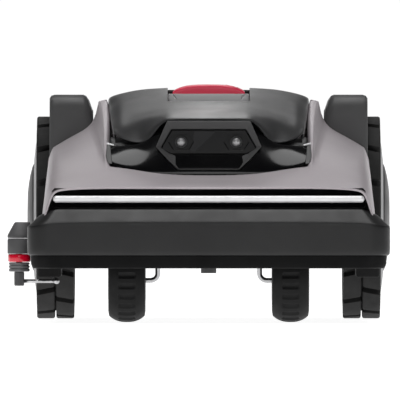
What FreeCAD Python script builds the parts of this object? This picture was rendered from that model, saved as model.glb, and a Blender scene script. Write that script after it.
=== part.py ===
import FreeCAD, Part
import math
import os
import re
import Sketcher
from FreeCAD import Placement, Rotation, Vector

# Robotic lawn mower. Millimetres, +Z up, the ground is Z = 0.
# The nose points to -Y. The mid-plane is X = 0 and the origin lies on the ground
# below the middle of the chassis. Names that end in _y and lie ahead of the origin
# are distances towards the nose.

# Sizes that can be set one by one.
SIZES = {
    # overall
    "half_length": 320,
    "body_half_width": 200,
    "floor_height": 66,
    "wall": 3,
    "seat_gap": 0.3,
    "rest_gap": 0.4,
    "running_gap": 0.08,
    # chassis tub
    "side_setback": 10,
    "waist_setback": 50,
    "tub_setback": 40,
    "rear_cover_depth": 15,
    "bay_depth": 32,
    "caster_room": 14,
    "well_room": 8,
    "rod_room": 5,
    # drive wheels
    "wheel_radius": 123,
    "wheel_width": 46,
    "wheel_gap": 13,
    "wheel_rear_room": 22,
    "tyre_depth": 25,
    "rim_face": 31,
    "dome_reach": 11.5,
    "lug_height": 9,
    "lug_count": 16,
    "lug_share": 0.8,
    "axle_radius": 8,
    "axle_depth": 24,
    "bearing_radius": 14,
    "bearing_width": 10,
    "motor_radius": 30,
    "motor_inner": 44,
    # fenders
    "fender_setback": 7.5,
    "fender_thick": 18.6,
    "arch_gap": 8,
    # shell
    "shell_setback": 34,
    "brow_depth": 36,
    "nose_setback": 12,
    "nose_narrow": 14,
    "shoulder_narrow": 11,
    "flank_narrow": 10,
    "ridge_x": 132.6,
    "seat_x": 121.5,
    # hood
    "hood_x": 119,
    "hood_top_x": 52,
    "hood_setback": 8,
    # fascia and camera
    "fascia_x": 122,
    "fascia_thick": 4,
    "pod_x": 63.5,
    "pod_top_x": 48.5,
    "pod_low_x": 35,
    "pod_setback": 74,
    "pod_depth": 50,
    "window_x": 55.5,
    "window_thick": 2,
    "lens_x": 33,
    "lens_radius": 5.4,
    # light bar
    "bar_radius": 3.5,
    "bar_narrow": 14.2,
    "tray_setback": 8,
    # bumper
    "bumper_stand": 16.5,
    "bumper_height": 56.7,
    "bumper_wall": 12,
    "bumper_corner": 26,
    "bumper_length": 170,
    "bumper_chamfer": 11,
    "pin_radius": 5,
    "pin_reach": 18,
    # stop button
    "stop_x": 43.8,
    "stop_length": 72,
    "stop_setback": 11,
    "notch_room": 67,
    "crest_room": 13,
    "stop_stem": 10,
    "trim_x": 48.8,
    # lid and keys
    "lid_half_width": 60,
    "lid_half_depth": 60,
    "lid_setback": 100,
    "lid_thick": 4,
    "lid_gap": 1,
    "lid_pin_back": 3,
    "lid_pin_depth": 1.6,
    "lid_pin_radius": 1,
    "lid_pin_length": 2.6,
    "panel_depth": 26,
    "panel_floor": 6,
    "display_half_width": 34,
    "display_front": 2,
    "display_rear": 36,
    "display_thick": 3,
    "key_radius": 8,
    "key_pitch": 30,
    "key_row": 22,
    "key_height": 5,
    "key_travel": 1.5,
    "key_stem": 3,
    # casters
    "caster_radius": 50,
    "caster_width": 45,
    "caster_x": 98,
    "caster_setback": 115,
    "caster_trail": 26,
    "caster_crown": 8.4,
    "fork_clear": 10,
    "rod_radius": 3,
    "rod_bend": 9,
    "fork_reach": 37,
    "axle_stub": 12,
    "spindle_radius": 6,
    "spindle_drop": 4,
    "bush_radius": 10,
    "boss_radius": 14,
    # cutting deck
    "well_roof": 95,
    "disc_radius": 94,
    "disc_z": 68,
    "disc_thick": 3,
    "disc_cap_radius": 9.25,
    "disc_cap_low": 57,
    "blade_inset": 16,
    "blade_length": 34,
    "blade_width": 18,
    "blade_thick": 1,
    "screw_radius": 3,
    "shaft_radius": 5,
    "cut_motor_radius": 30,
    "cut_motor_length": 46,
    "plate_z": 140,
    "plate_thick": 6,
    "plate_radius": 74,
    "guide_circle": 60,
    "guide_radius": 4,
    "bridge_z": 160,
    "bridge_thick": 4,
    "lift_motor_radius": 12,
    "lift_motor_length": 28,
    # trimmer
    "trimmer_stand": 22.6,
    "trimmer_y": 20,
    "trimmer_radius": 14.2,
    "trimmer_top": 118.8,
    "trimmer_low": 80.4,
    "trimmer_seam": 99,
    "trimmer_arm_low": 86,
    "trimmer_arm_top": 116,
    "ring_low": 70.6,
    "spool_low": 58.8,
    "post_radius": 6.4,
    "post_low": 41.6,
    "line_z": 47.6,
    "line_radius": 2.3,
    "line_reach": 41.8,
    "ball_radius": 3.6,
    # electronics
    "board_half_width": 76,
    "board_rise": 4,
    "board_thick": 2,
    "battery_half_width": 110,
    "battery_height": 67,
    "battery_room": 45,
    "puck_radius": 26,
    "puck_height": 12,
    "puck_rise": 95,
    "puck_post": 8,
    # side skirts and rear
    "skirt_stand": 6,
    "skirt_low": 52.8,
    "contact_inner": 20,
    "contact_width": 26,
    "contact_low": 95,
    "contact_height": 16,
    "contact_depth": 1.8,
}

# Heights above the tub's top edge: the upper body rides on the tub.
RISES = {
    "shell_bottom": -30,
    "nose_bottom": 11.4,
    "shoulder_z": 58,
    "flank_z": 85,
    "ridge_z": 115,
    "seat_front_z": 62,
    "seat_mid_z": 76,
    "seat_rear_z": 88,
    "seat_tail_z": 65,
    "hood_top": 128.4,
    "hood_edge_z": 119,
    "hood_tail_z": 90,
    "fascia_low_z": 26,
    "pod_top": 92,
    "pod_mid": 60.6,
    "pod_low": 32,
    "window_top": 79.7,
    "window_low": 52.3,
    "lens_z": 66,
    "bar_z": -1.75,
    "tray_low": -12.4,
    "bumper_top": -12.8,
    "pin_z": -20,
    "stop_top": 135.6,
    "stop_low": 119,
    "trim_low": 112,
    "trim_top": 123.8,
    "ledge_z": 115,
    "skirt_top": -33,
}

# Places that follow from the sizes above.
TIED = {
    "tub_half_width": "body_half_width - side_setback",
    "tub_waist": "body_half_width - waist_setback",
    "tub_front": "half_length - tub_setback",
    "tub_rear": "half_length - rear_cover_depth",
    "caster_y": "half_length - caster_setback",
    "fork_height": "2 * caster_radius + fork_clear",
    "bay_height": "fork_height + rod_radius + rod_room",
    "bay_rear": "caster_y - caster_trail - caster_radius - caster_room",
    "tub_top": "bay_height + bay_depth",
    "spindle_top": "tub_top - spindle_drop",
    "axle_y": "half_length - wheel_radius - wheel_rear_room",
    "waist_front": "half_length - 2 * wheel_radius - 2 * wheel_rear_room",
    "wheel_inner": "tub_waist + wheel_gap",
    "rim_radius": "wheel_radius - tyre_depth",
    "dome_radius": "rim_radius - rim_face",
    "axle_inner": "tub_waist - axle_depth",
    "arch_radius": "wheel_radius + arch_gap",
    "flank_x": "tub_waist - flank_narrow",
    "fender_inner": "flank_x + seat_gap",
    "fender_outer": "body_half_width - fender_setback",
    "fender_top": "wheel_radius + arch_radius + fender_thick",
    "shell_front": "half_length - shell_setback",
    "nose_front": "half_length - nose_setback",
    "nose_half_width": "body_half_width - nose_narrow",
    "shoulder_x": "body_half_width - shoulder_narrow",
    "hood_tail": "half_length - hood_setback",
    "pod_front": "half_length - pod_setback",
    "pod_rear": "pod_front - pod_depth",
    "bar_x": "body_half_width - bar_narrow",
    "tray_front": "nose_front - tray_setback",
    "bumper_x": "body_half_width + bumper_stand",
    "bumper_low": "bumper_top - bumper_height",
    "bumper_tail": "half_length - bumper_length",
    "pin_x": "body_half_width - waist_setback",
    "pin_tail": "tub_front - pin_reach",
    "stop_rear": "waist_front - stop_setback",
    "stop_front": "stop_length - stop_rear",
    "middle_y": "stop_front + notch_room",
    "crest_y": "stop_front + crest_room",
    "lid_y": "waist_front + lid_setback",
    "blade_circle": "disc_radius - blade_inset",
    "well_radius": "blade_circle + blade_length + 1",
    "deck_y": "bay_rear + caster_room - well_room - well_radius - wall",
    "skirt_outer": "body_half_width + skirt_stand",
    "skirt_front": "bumper_tail - 10",
    "trimmer_x": "skirt_outer + trimmer_stand",
}

document = FreeCAD.newDocument("RoboticMower")
sheet = document.addObject("Spreadsheet::Sheet", "Dims")
cells = {alias: str(size) for alias, size in SIZES.items()}
cells.update({f"{alias}_rise": str(rise) for alias, rise in RISES.items()})
cells.update({alias: f"=tub_top + {alias}_rise" for alias in RISES})
cells.update({alias: f"={text}" for alias, text in TIED.items()})
for row, (alias, text) in enumerate(cells.items(), start=1):
    sheet.set(f"A{row}", alias)
    sheet.setAlias(f"B{row}", alias)
for row, text in enumerate(cells.values(), start=1):
    sheet.set(f"B{row}", text)
document.recompute()

WORD = re.compile(r"[a-z][a-z_]+")
PLANES = {"XY": ("XY_Plane", 1), "XZ": ("XZ_Plane", -1), "YZ": ("YZ_Plane", 1)}
pieces = {}


def ex(text):
    """Spell an expression with the sheet's name before each of its aliases."""
    return WORD.sub(lambda word: "Dims." + word[0] if word[0] in cells else word[0], str(text))


def value(text):
    """The number that an expression stands for now."""
    return float(sheet.evalExpression(ex(text)))


def keep(name, thing):
    """Name a finished sub-part: the label is also its file's name."""
    thing.Label = name
    pieces[name] = thing
    return thing


# ---------------------------------------------------------------- PartDesign helpers

def new_body(name):
    return keep(name, document.addObject("PartDesign::Body", name))


def place(thing, x=0, y=0, z=0, rotation=None):
    """Put a sub-part where three expressions say."""
    if rotation is not None:
        thing.Placement = Placement(Vector(), rotation)
    for axis, text in zip("xyz", (x, y, z)):
        thing.setExpression(f"Placement.Base.{axis}", ex(text))


def new_sketch(body, plane, at):
    """A sketch on one of the body's own planes, moved along its normal to `at`."""
    role, sign = PLANES[plane]
    sketch = body.newObject("Sketcher::SketchObject", "Outline")
    origin_plane = next(f for f in body.Origin.OriginFeatures if f.Role == role)
    sketch.AttachmentSupport = [(origin_plane, "")]
    sketch.MapMode = "FlatFace"
    sketch.setExpression("AttachmentOffset.Base.z", ex(f"{sign} * ({at})"))
    return sketch


def pin_point(sketch, geometry, end, x, y):
    """Tie one end of a line or arc to two expressions."""
    for kind, text in (("DistanceX", x), ("DistanceY", y)):
        index = sketch.addConstraint(
            Sketcher.Constraint(kind, -1, 1, geometry, end, value(text)))
        sketch.setExpression(f"Constraints[{index}]", ex(text))


def outline(body, plane, at, points):
    """A closed outline. A point that ends with "via" is where an arc passes."""
    sketch = new_sketch(body, plane, at)
    corners = [point for point in points if len(point) == 2]
    vectors = [Vector(value(x), value(y), 0) for x, y in corners]
    bends = {}
    for index, point in enumerate(points):
        if len(point) == 3:
            bends[corners.index(points[index - 1])] = point
    edges = []
    for index, start in enumerate(vectors):
        end = vectors[(index + 1) % len(vectors)]
        if index in bends:
            middle = Vector(value(bends[index][0]), value(bends[index][1]), 0)
            shape = Part.Arc(start, middle, end)
        else:
            shape = Part.LineSegment(start, end)
        edges.append(sketch.addGeometry(shape, False))
    # an arc is stored anticlockwise, so its ends may be the other way round
    ends = []
    for index, edge in enumerate(edges):
        stored = sketch.Geometry[edge]
        forward = stored.StartPoint.isEqual(vectors[index], 0.001)
        ends.append((1, 2) if forward else (2, 1))
    for index, edge in enumerate(edges):
        after = (index + 1) % len(edges)
        sketch.addConstraint(
            Sketcher.Constraint("Coincident", edge, ends[index][1], edges[after], ends[after][0]))
        pin_point(sketch, edge, ends[index][0], *corners[index])
    for index, bend in bends.items():
        middle = sketch.addGeometry(Part.Point(Vector(value(bend[0]), value(bend[1]), 0)), True)
        pin_point(sketch, middle, 1, bend[0], bend[1])
        sketch.addConstraint(Sketcher.Constraint("PointOnObject", middle, 1, edges[index]))
    return sketch


def circles(body, plane, at, centres, radius):
    """Circles of one radius round points given as expressions."""
    sketch = new_sketch(body, plane, at)
    for x, y in centres:
        centre = Vector(value(x), value(y), 0)
        circle = sketch.addGeometry(Part.Circle(centre, Vector(0, 0, 1), value(radius)), False)
        pin_point(sketch, circle, 3, x, y)
        index = sketch.addConstraint(Sketcher.Constraint("Radius", circle, value(radius)))
        sketch.setExpression(f"Constraints[{index}]", ex(radius))
    return sketch


def rectangle(body, plane, at, low_x, high_x, low_y, high_y):
    corners = [(low_x, low_y), (high_x, low_y), (high_x, high_y), (low_x, high_y)]
    return outline(body, plane, at, corners)


def plane_sign(sketch):
    """+1 where the sketch's normal runs along the positive world axis, else -1."""
    role = sketch.AttachmentSupport[0][0].Role
    return next(sign for name, sign in PLANES.values() if name == role)


def pad(body, sketch, length, towards=1):
    """Raise a sketch towards the positive or the negative side of its axis."""
    feature = body.newObject("PartDesign::Pad", "Pad")
    feature.Profile = sketch
    feature.Reversed = plane_sign(sketch) != towards
    feature.setExpression("Length", ex(length))
    document.recompute()
    return feature


def pocket(body, sketch, length, towards=1):
    """Sink a sketch into the body, and make sure that it does cut."""
    before = body.Shape.Volume
    feature = body.newObject("PartDesign::Pocket", "Pocket")
    feature.Profile = sketch
    feature.Reversed = plane_sign(sketch) == towards
    feature.setExpression("Length", ex(length))
    document.recompute()
    if body.Shape.Volume >= before:
        raise RuntimeError(f"a pocket of {body.Label} cuts nothing")
    return feature


def revolve(body, sketch, axis="V_Axis", cut=False):
    kind = "PartDesign::Groove" if cut else "PartDesign::Revolution"
    feature = body.newObject(kind, "Turned")
    feature.Profile = sketch
    feature.ReferenceAxis = (sketch, [axis])
    feature.Angle = 360
    document.recompute()
    return feature


def loft(body, sketches, cut=False):
    kind = "PartDesign::SubtractiveLoft" if cut else "PartDesign::AdditiveLoft"
    feature = body.newObject(kind, "Loft")
    feature.Profile = sketches[0]
    feature.Sections = sketches[1:]
    feature.Ruled = True
    document.recompute()
    return feature


def bevel(body, kind, size, choose):
    """Fillet or chamfer the edges of the tip that `choose` picks."""
    tip = body.Tip
    names = [f"Edge{number}" for number, edge in enumerate(tip.Shape.Edges, start=1) if choose(edge)]
    if not names:
        raise RuntimeError(f"no edge to bevel on {body.Label}")
    feature = body.newObject(f"PartDesign::{kind}", kind)
    feature.Base = (tip, names)
    feature.setExpression("Size" if kind == "Chamfer" else "Radius", ex(size))
    document.recompute()
    return feature


def polar(body, feature, count):
    """Repeat a feature round the body's own Z axis."""
    pattern = body.newObject("PartDesign::PolarPattern", "Pattern")
    pattern.Originals = [feature]
    pattern.Axis = (next(f for f in body.Origin.OriginFeatures if f.Role == "Z_Axis"), [""])
    pattern.Angle = 360
    pattern.setExpression("Occurrences", ex(count))
    body.Tip = pattern
    document.recompute()
    return pattern


def along(edge, axis, at, slack=0.01):
    """True for an edge that lies wholly at one coordinate."""
    box = edge.BoundBox
    low, high = {"x": (box.XMin, box.XMax), "y": (box.YMin, box.YMax), "z": (box.ZMin, box.ZMax)}[axis]
    return abs(low - at) < slack and abs(high - at) < slack


# ---------------------------------------------------------------- Part helpers

def block(x, y, z, name="Block"):
    """A Part box between pairs of expressions."""
    box = document.addObject("Part::Box", name)
    for side, (low, high) in zip(("Length", "Width", "Height"), (x, y, z)):
        box.setExpression(side, ex(f"({high}) - ({low})"))
    place(box, x[0], y[0], z[0])
    return box


TURNS = {
    "x": Rotation(Vector(0, 1, 0), 90),
    "y": Rotation(Vector(1, 0, 0), -90),
    "z": Rotation(),
}


def drum(axis, centre, radius, low, high, name="Drum"):
    """A Part cylinder along one axis. `centre` gives the other two coordinates in order."""
    cylinder = document.addObject("Part::Cylinder", name)
    cylinder.setExpression("Radius", ex(radius))
    cylinder.setExpression("Height", ex(f"({high}) - ({low})"))
    spots = list(centre)
    spots.insert("xyz".index(axis), low)
    place(cylinder, *spots, rotation=TURNS[axis])
    return cylinder


def fuse(*shapes):
    joined = document.addObject("Part::MultiFuse", "Joined")
    joined.Shapes = list(shapes)
    return joined


def cut(base, *tools):
    tool = tools[0] if len(tools) == 1 else fuse(*tools)
    result = document.addObject("Part::Cut", "Cut")
    result.Base = base
    result.Tool = tool
    return result


def group(*shapes):
    """Separate solids that share one node."""
    bundle = document.addObject("Part::Compound", "Group")
    bundle.Links = list(shapes)
    return bundle


def mirrored(points):
    """A half outline, listed from its low outer point to the middle, and its mirror."""
    other = [(f"-({x})", y) for x, y in reversed(points)]
    return list(points) + other


# ---------------------------------------------------------------- places worked out from the sizes

DECK_Y = "-deck_y"
CASTER_Y = "-caster_y"

# the hood falls in a straight line from its top to its tail, and the lid lies on that slope
LID_FALL = "(hood_top - hood_tail_z) / (hood_tail - waist_front + 2)"
LID_TILT = f"atan({LID_FALL})"
LID_Z = f"hood_top - (lid_y - waist_front + 2) * {LID_FALL}"
LID_PIN_Y = (f"lid_y + (lid_half_depth - lid_pin_back) * cos({LID_TILT})"
             f" - lid_pin_depth * sin({LID_TILT})")
LID_PIN_Z = (f"{LID_Z} - (lid_half_depth - lid_pin_back) * sin({LID_TILT})"
             f" - lid_pin_depth * cos({LID_TILT})")


def on_circle(angle, circle):
    """A point of a circle round the deck's centre, as two expressions."""
    across = math.cos(math.radians(angle))
    ahead = math.sin(math.radians(angle))
    return f"{across:.6f} * ({circle})", f"{DECK_Y} + {ahead:.6f} * ({circle})"


GUIDE_ANGLES = (90, 210, 330)
LIFT_ANGLE = 30
BLADE_ANGLES = (270, 30, 150)


# ---------------------------------------------------------------- chassis

def chassis_tub():
    """Moulded tub: a rear box, a raised bay over the casters, the deck well and its bosses."""
    tub = new_body("chassis_tub")
    rear = [("-tub_half_width", "-bay_rear"), ("tub_half_width", "-bay_rear"),
            ("tub_half_width", "waist_front"), ("tub_waist", "waist_front"),
            ("tub_waist", "tub_rear"), ("-tub_waist", "tub_rear"),
            ("-tub_waist", "waist_front"), ("-tub_half_width", "waist_front")]
    pad(tub, outline(tub, "XY", "floor_height", rear), "tub_top - floor_height")
    pad(tub, rectangle(tub, "XY", "bay_height", "-tub_half_width", "tub_half_width",
                       "-tub_front", "-bay_rear + wall"), "tub_top - bay_height")
    inside = [("-tub_half_width + wall", "-bay_rear + wall"), ("tub_half_width - wall", "-bay_rear + wall"),
              ("tub_half_width - wall", "waist_front - wall"), ("tub_waist - wall", "waist_front - wall"),
              ("tub_waist - wall", "tub_rear - wall"), ("-tub_waist + wall", "tub_rear - wall"),
              ("-tub_waist + wall", "waist_front - wall"), ("-tub_half_width + wall", "waist_front - wall")]
    pocket(tub, outline(tub, "XY", "floor_height + wall", inside), "tub_top")
    pocket(tub, rectangle(tub, "XY", "bay_height + wall", "-tub_half_width + wall", "tub_half_width - wall",
                          "-tub_front + wall", "-bay_rear + wall"), "tub_top")
    # pegs under the main board
    board_spots = [(f"{side} * (board_half_width - 8)", y) for side in (-1, 1)
                   for y in ("-tub_front + 30", "-bay_rear - 38")]
    pad(tub, circles(tub, "XY", "bay_height + wall", board_spots, "3"), "board_rise - seat_gap")
    # round well over the cutting disc, with a roof that the motor hangs through
    pad(tub, circles(tub, "XY", "floor_height", [("0", DECK_Y)], "well_radius + wall"),
        "well_roof + wall - floor_height")
    pocket(tub, circles(tub, "XY", "floor_height - 1", [("0", DECK_Y)], "well_radius"),
           "well_roof - floor_height + 1")
    pocket(tub, circles(tub, "XY", "well_roof - 1", [("0", DECK_Y)], "cut_motor_radius + 10"), "wall + 2")
    # bosses that hold the caster bushes
    spots = [("-caster_x", CASTER_Y), ("caster_x", CASTER_Y)]
    pad(tub, circles(tub, "XY", "bay_height", spots, "boss_radius"), "spindle_top - bay_height - 2")
    pocket(tub, circles(tub, "XY", "bay_height - 1", spots, "bush_radius"), "spindle_top")
    # bearing seats in the side walls
    for side in (-1, 1):
        low = "tub_waist - bearing_width"
        axle = [("axle_y", "wheel_radius")]
        pad(tub, circles(tub, "YZ", f"{side} * ({low})", axle, "bearing_radius + 5"),
            "bearing_width", towards=side)
        pocket(tub, circles(tub, "YZ", f"{side} * ({low} - 1)", axle, "bearing_radius"),
               "bearing_width + 2", towards=side)
    # holes that the bumper's pins slide in
    pins = [("-pin_x", "pin_z"), ("pin_x", "pin_z")]
    pocket(tub, circles(tub, "XZ", "-tub_front - 1", pins, "pin_radius + running_gap"), "wall + 2")


def side_skirts():
    """Dark side walls between the bumper's arms and the drive wheels."""
    for side, name in ((-1, "skirt_left"), (1, "skirt_right")):
        skirt = new_body(name)
        inner = f"{side} * (tub_half_width + seat_gap)"
        profile = [("-skirt_front", "skirt_low + 22"), ("-skirt_front + 22", "skirt_low"),
                   ("waist_front - 22", "skirt_low"), ("waist_front - 4", "skirt_low + 30"),
                   ("waist_front - 4", "skirt_top"), ("-skirt_front", "skirt_top")]
        pad(skirt, outline(skirt, "YZ", inner, profile),
            "skirt_outer - tub_half_width - seat_gap", towards=side)


def shell_section(body, y, points, inset="0"):
    """One closed section of the shell; `inset` moves it inwards by the wall."""
    half = [(f"{x} - ({inset})", f"{z} - ({inset})") for x, z in points]
    if inset != "0":
        half[0] = (half[0][0], f"{points[0][1]} - 2 * ({inset})")
    return outline(body, "XZ", y, mirrored(half))


def upper_shell():
    """The coloured shell: wide ahead of the wheels, narrow between the fenders."""
    shell = new_body("upper_shell")
    side = [("body_half_width", "shell_bottom"), ("body_half_width - 2.4", "shell_bottom + 26")]
    front = side + [("body_half_width - 9", "nose_bottom - 1"), ("shoulder_x - 3", "nose_bottom + 4"),
                    ("flank_x + 10", "nose_bottom + 5.5"), ("ridge_x", "nose_bottom + 6.5"),
                    ("seat_x + 2", "nose_bottom + 6.6"), ("seat_x", "nose_bottom + 6.6")]
    brow = side + [("body_half_width - 6", "fascia_low_z - 6"), ("shoulder_x", "fascia_low_z + 6"),
                   ("flank_x + 4", "fascia_low_z + 12"), ("ridge_x", "fascia_low_z + 14"),
                   ("seat_x + 2", "fascia_low_z + 12"), ("seat_x", "fascia_low_z")]
    cheek = side + [("body_half_width - 6", "shoulder_z - 22"), ("shoulder_x", "shoulder_z - 8"),
                    ("flank_x + 2", "shoulder_z + 6"), ("ridge_x", "seat_front_z + 8"),
                    ("seat_x + 2", "seat_front_z + 9"), ("seat_x", "seat_front_z")]
    middle = side + [("body_half_width - 6", "shoulder_z - 14"), ("shoulder_x", "shoulder_z"),
                     ("flank_x", "flank_z"), ("ridge_x", "ridge_z - 14"),
                     ("seat_x + 2", "ridge_z - 12"), ("seat_x", "seat_mid_z")]
    rear = side + [("body_half_width - 6", "shoulder_z - 14"), ("shoulder_x", "shoulder_z"),
                   ("flank_x", "flank_z"), ("ridge_x", "ridge_z"),
                   ("seat_x + 2", "ridge_z + 2"), ("seat_x", "seat_rear_z")]
    stations = [("-shell_front", front), ("-shell_front + brow_depth", brow), ("-caster_y", cheek),
                ("-middle_y", middle), ("waist_front - 2", rear)]
    loft(shell, [shell_section(shell, y, points) for y, points in stations])
    hollow = list(stations)
    hollow[0] = ("-shell_front + wall", front)
    hollow[-1] = ("waist_front - 2 - wall", rear)
    loft(shell, [shell_section(shell, y, points, "wall") for y, points in hollow], cut=True)
    # narrow tail between the fenders
    waist = "flank_x - 0.5"
    tail_low = "tub_top + 2"
    tail_start = [(waist, tail_low), (waist, "flank_z - 55"), (waist, "flank_z - 35"),
                  (waist, "flank_z - 15"), (waist, "flank_z"), ("ridge_x", "ridge_z"),
                  ("seat_x + 2", "ridge_z + 2"), ("seat_x", "seat_rear_z")]
    tail_end = [(waist, tail_low), (waist, "seat_tail_z - 45"), (waist, "seat_tail_z - 35"),
                (waist, "seat_tail_z - 20"), (f"{waist} - 1", "seat_tail_z - 10"),
                ("ridge_x", "seat_tail_z + 15"), ("seat_x + 2", "seat_tail_z + 17"),
                ("seat_x", "seat_tail_z")]
    loft(shell, [shell_section(shell, "waist_front - 2", tail_start),
                 shell_section(shell, "half_length - 2", tail_end)])
    loft(shell, [shell_section(shell, "waist_front - 2 - wall - 1", tail_start, "wall"),
                 shell_section(shell, "half_length - 2 - wall", tail_end, "wall")], cut=True)
    # room for the tub under the wall between the wide and the narrow part
    pocket(shell, rectangle(shell, "XZ", "waist_front - 2 - wall - 1", "-tub_half_width - rest_gap",
                            "tub_half_width + rest_gap", "shell_bottom - 1", "tub_top + rest_gap"),
           "wall + 2")
    # nose lip over the light bar
    lip = [("-nose_front", "nose_bottom"), ("-shell_front + wall", "nose_bottom"),
           ("-shell_front + wall", "nose_bottom + 6.6"), ("-shell_front", "nose_bottom + 6.6"),
           ("-nose_front", "nose_bottom + 2.2")]
    pad(shell, outline(shell, "YZ", "-nose_half_width", lip), "2 * nose_half_width")
    # opening under the hood, camera opening and the holes for the bumper's pins
    pocket(shell, rectangle(shell, "XY", "seat_front_z - 20", "-seat_x + 12", "seat_x - 12",
                            "-caster_y + 12", "hood_tail - 12"), "100")
    pocket(shell, pod_outline(shell, "-pod_front - 10", "rest_gap"), "pod_front - pod_rear + 30")
    pins = [("-pin_x", "pin_z"), ("pin_x", "pin_z")]
    pocket(shell, circles(shell, "XZ", "-shell_front - 1", pins, "pin_radius + 1"), "wall + 2")


def pod_outline(body, y, grow):
    """The eight-sided front outline of the camera housing, grown by a clearance."""
    half = [(f"pod_low_x + {grow}", f"pod_low - {grow}"),
            (f"pod_low_x + 13.4 + {grow}", f"pod_low + 12 - {grow}"),
            (f"pod_x + {grow}", "pod_mid"), (f"pod_top_x + {grow}", f"pod_top + {grow}")]
    return outline(body, "XZ", y, mirrored(half))


def hood_cover():
    """Dark centre cover over the electronics, with the stop button's notch and the lid's opening."""
    hood = new_body("hood_cover")
    # the shell's seat rises in a straight line between its middle and rear sections
    seat_rise = "(seat_rear_z - seat_mid_z) * (middle_y - crest_y) / (waist_front - 2 + middle_y)"
    crest_seat = f"seat_mid_z + {seat_rise} + 2 * rest_gap"
    stations = [
        ("-caster_y - 9", [("hood_x - 5", "seat_front_z + rest_gap"), ("hood_x - 7", "seat_front_z + 5"),
                           ("hood_x - 43", "seat_front_z + 6"), ("pod_top_x + 6", "pod_top + 2")]),
        ("-middle_y", [("hood_x", "seat_mid_z + rest_gap"), ("hood_x", "seat_mid_z + 21"),
                       ("hood_x - 22", "seat_mid_z + 28"), ("hood_top_x + 12", "seat_mid_z + 33")]),
        ("-crest_y", [("hood_x", crest_seat), ("hood_x", "hood_edge_z - 7"),
                      ("hood_x - 22", "hood_edge_z"), ("hood_top_x", "hood_top - 2.4")]),
        ("waist_front - 2", [("hood_x", "seat_rear_z + rest_gap"), ("hood_x", "hood_edge_z"),
                             ("hood_x - 22", "hood_edge_z + 5"), ("hood_top_x", "hood_top")]),
        ("hood_tail", [("hood_x - 4", "seat_tail_z + rest_gap + 1"), ("hood_x - 4", "hood_tail_z - 14"),
                       ("hood_x - 26", "hood_tail_z - 5"), ("hood_top_x", "hood_tail_z")]),
    ]
    loft(hood, [outline(hood, "XZ", y, mirrored(half)) for y, half in stations])
    inner = []
    sinks = ("wall", "wall", "2", "1")
    for index, (y, half) in enumerate(stations):
        shift = {0: "+ wall", len(stations) - 1: "- wall"}.get(index, "")
        points = [(f"{x} - {sink}", f"{z} - wall") for (x, z), sink in zip(half, sinks)]
        inner.append(outline(hood, "XZ", f"{y} {shift}", mirrored(points)))
    loft(hood, inner, cut=True)
    pocket(hood, rectangle(hood, "XY", "ledge_z", "-trim_x - rest_gap", "trim_x + rest_gap",
                           "-stop_front - 50", "stop_rear + 7 + rest_gap"), "40")
    pad(hood, rectangle(hood, "XY", "ledge_z - 4", "-trim_x - 8", "trim_x + 8", "-stop_front - 44",
                        "stop_rear + 12"), "4")
    pocket(hood, rectangle(hood, "XY", "ledge_z - 20", "-trim_x - rest_gap", "trim_x + rest_gap",
                           "-stop_front - 7 - rest_gap", "stop_rear + 7 + rest_gap"), "40")
    pocket(hood, rectangle(hood, "XY", "seat_rear_z",
                           "-lid_half_width - lid_gap", "lid_half_width + lid_gap",
                           "lid_y - lid_half_depth - lid_gap", "lid_y + lid_half_depth + lid_gap"), "60")
    pocket(hood, circles(hood, "YZ", "-lid_half_width - lid_gap - 2", [(LID_PIN_Y, LID_PIN_Z)],
                         "lid_pin_radius + running_gap"), "2 * lid_half_width + 2 * lid_gap + 4")
    # rim that frames the camera's upper half
    rim = [("pod_x + 3", "pod_mid + 6"), ("pod_top_x + 3", "pod_top + 3")]
    pad(hood, outline(hood, "XZ", "-pod_front + 2", mirrored(rim)), "pod_front - caster_y")
    pocket(hood, pod_outline(hood, "-pod_front - 10", "rest_gap"), "pod_front - pod_rear + 11")


def fenders():
    """Arched covers over the drive wheels."""
    for side, name in ((-1, "fender_left"), (1, "fender_right")):
        fender = new_body(name)
        low = "tub_top + 2"
        front = "waist_front + 0.5"
        rear = "half_length - 2"
        profile = [(front, low), (rear, low), (rear, "fender_top - 70"),
                   ("half_length - 30", "fender_top - 12"), ("half_length - 60", "fender_top"),
                   (f"{front} + 14", "fender_top"),
                   (f"{front} + 2", "fender_top - 10")]
        pad(fender, outline(fender, "YZ", f"{side} * fender_inner", profile),
            "fender_outer - fender_inner", towards=side)
        pocket(fender, circles(fender, "YZ", f"{side} * (fender_inner + wall)",
                               [("axle_y", "wheel_radius")], "arch_radius"), "fender_outer", towards=side)
        top = value("fender_top")
        inner = side * value("fender_inner")
        bevel(fender, "Chamfer", "6", lambda edge: along(edge, "z", top) and along(edge, "x", inner))


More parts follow.
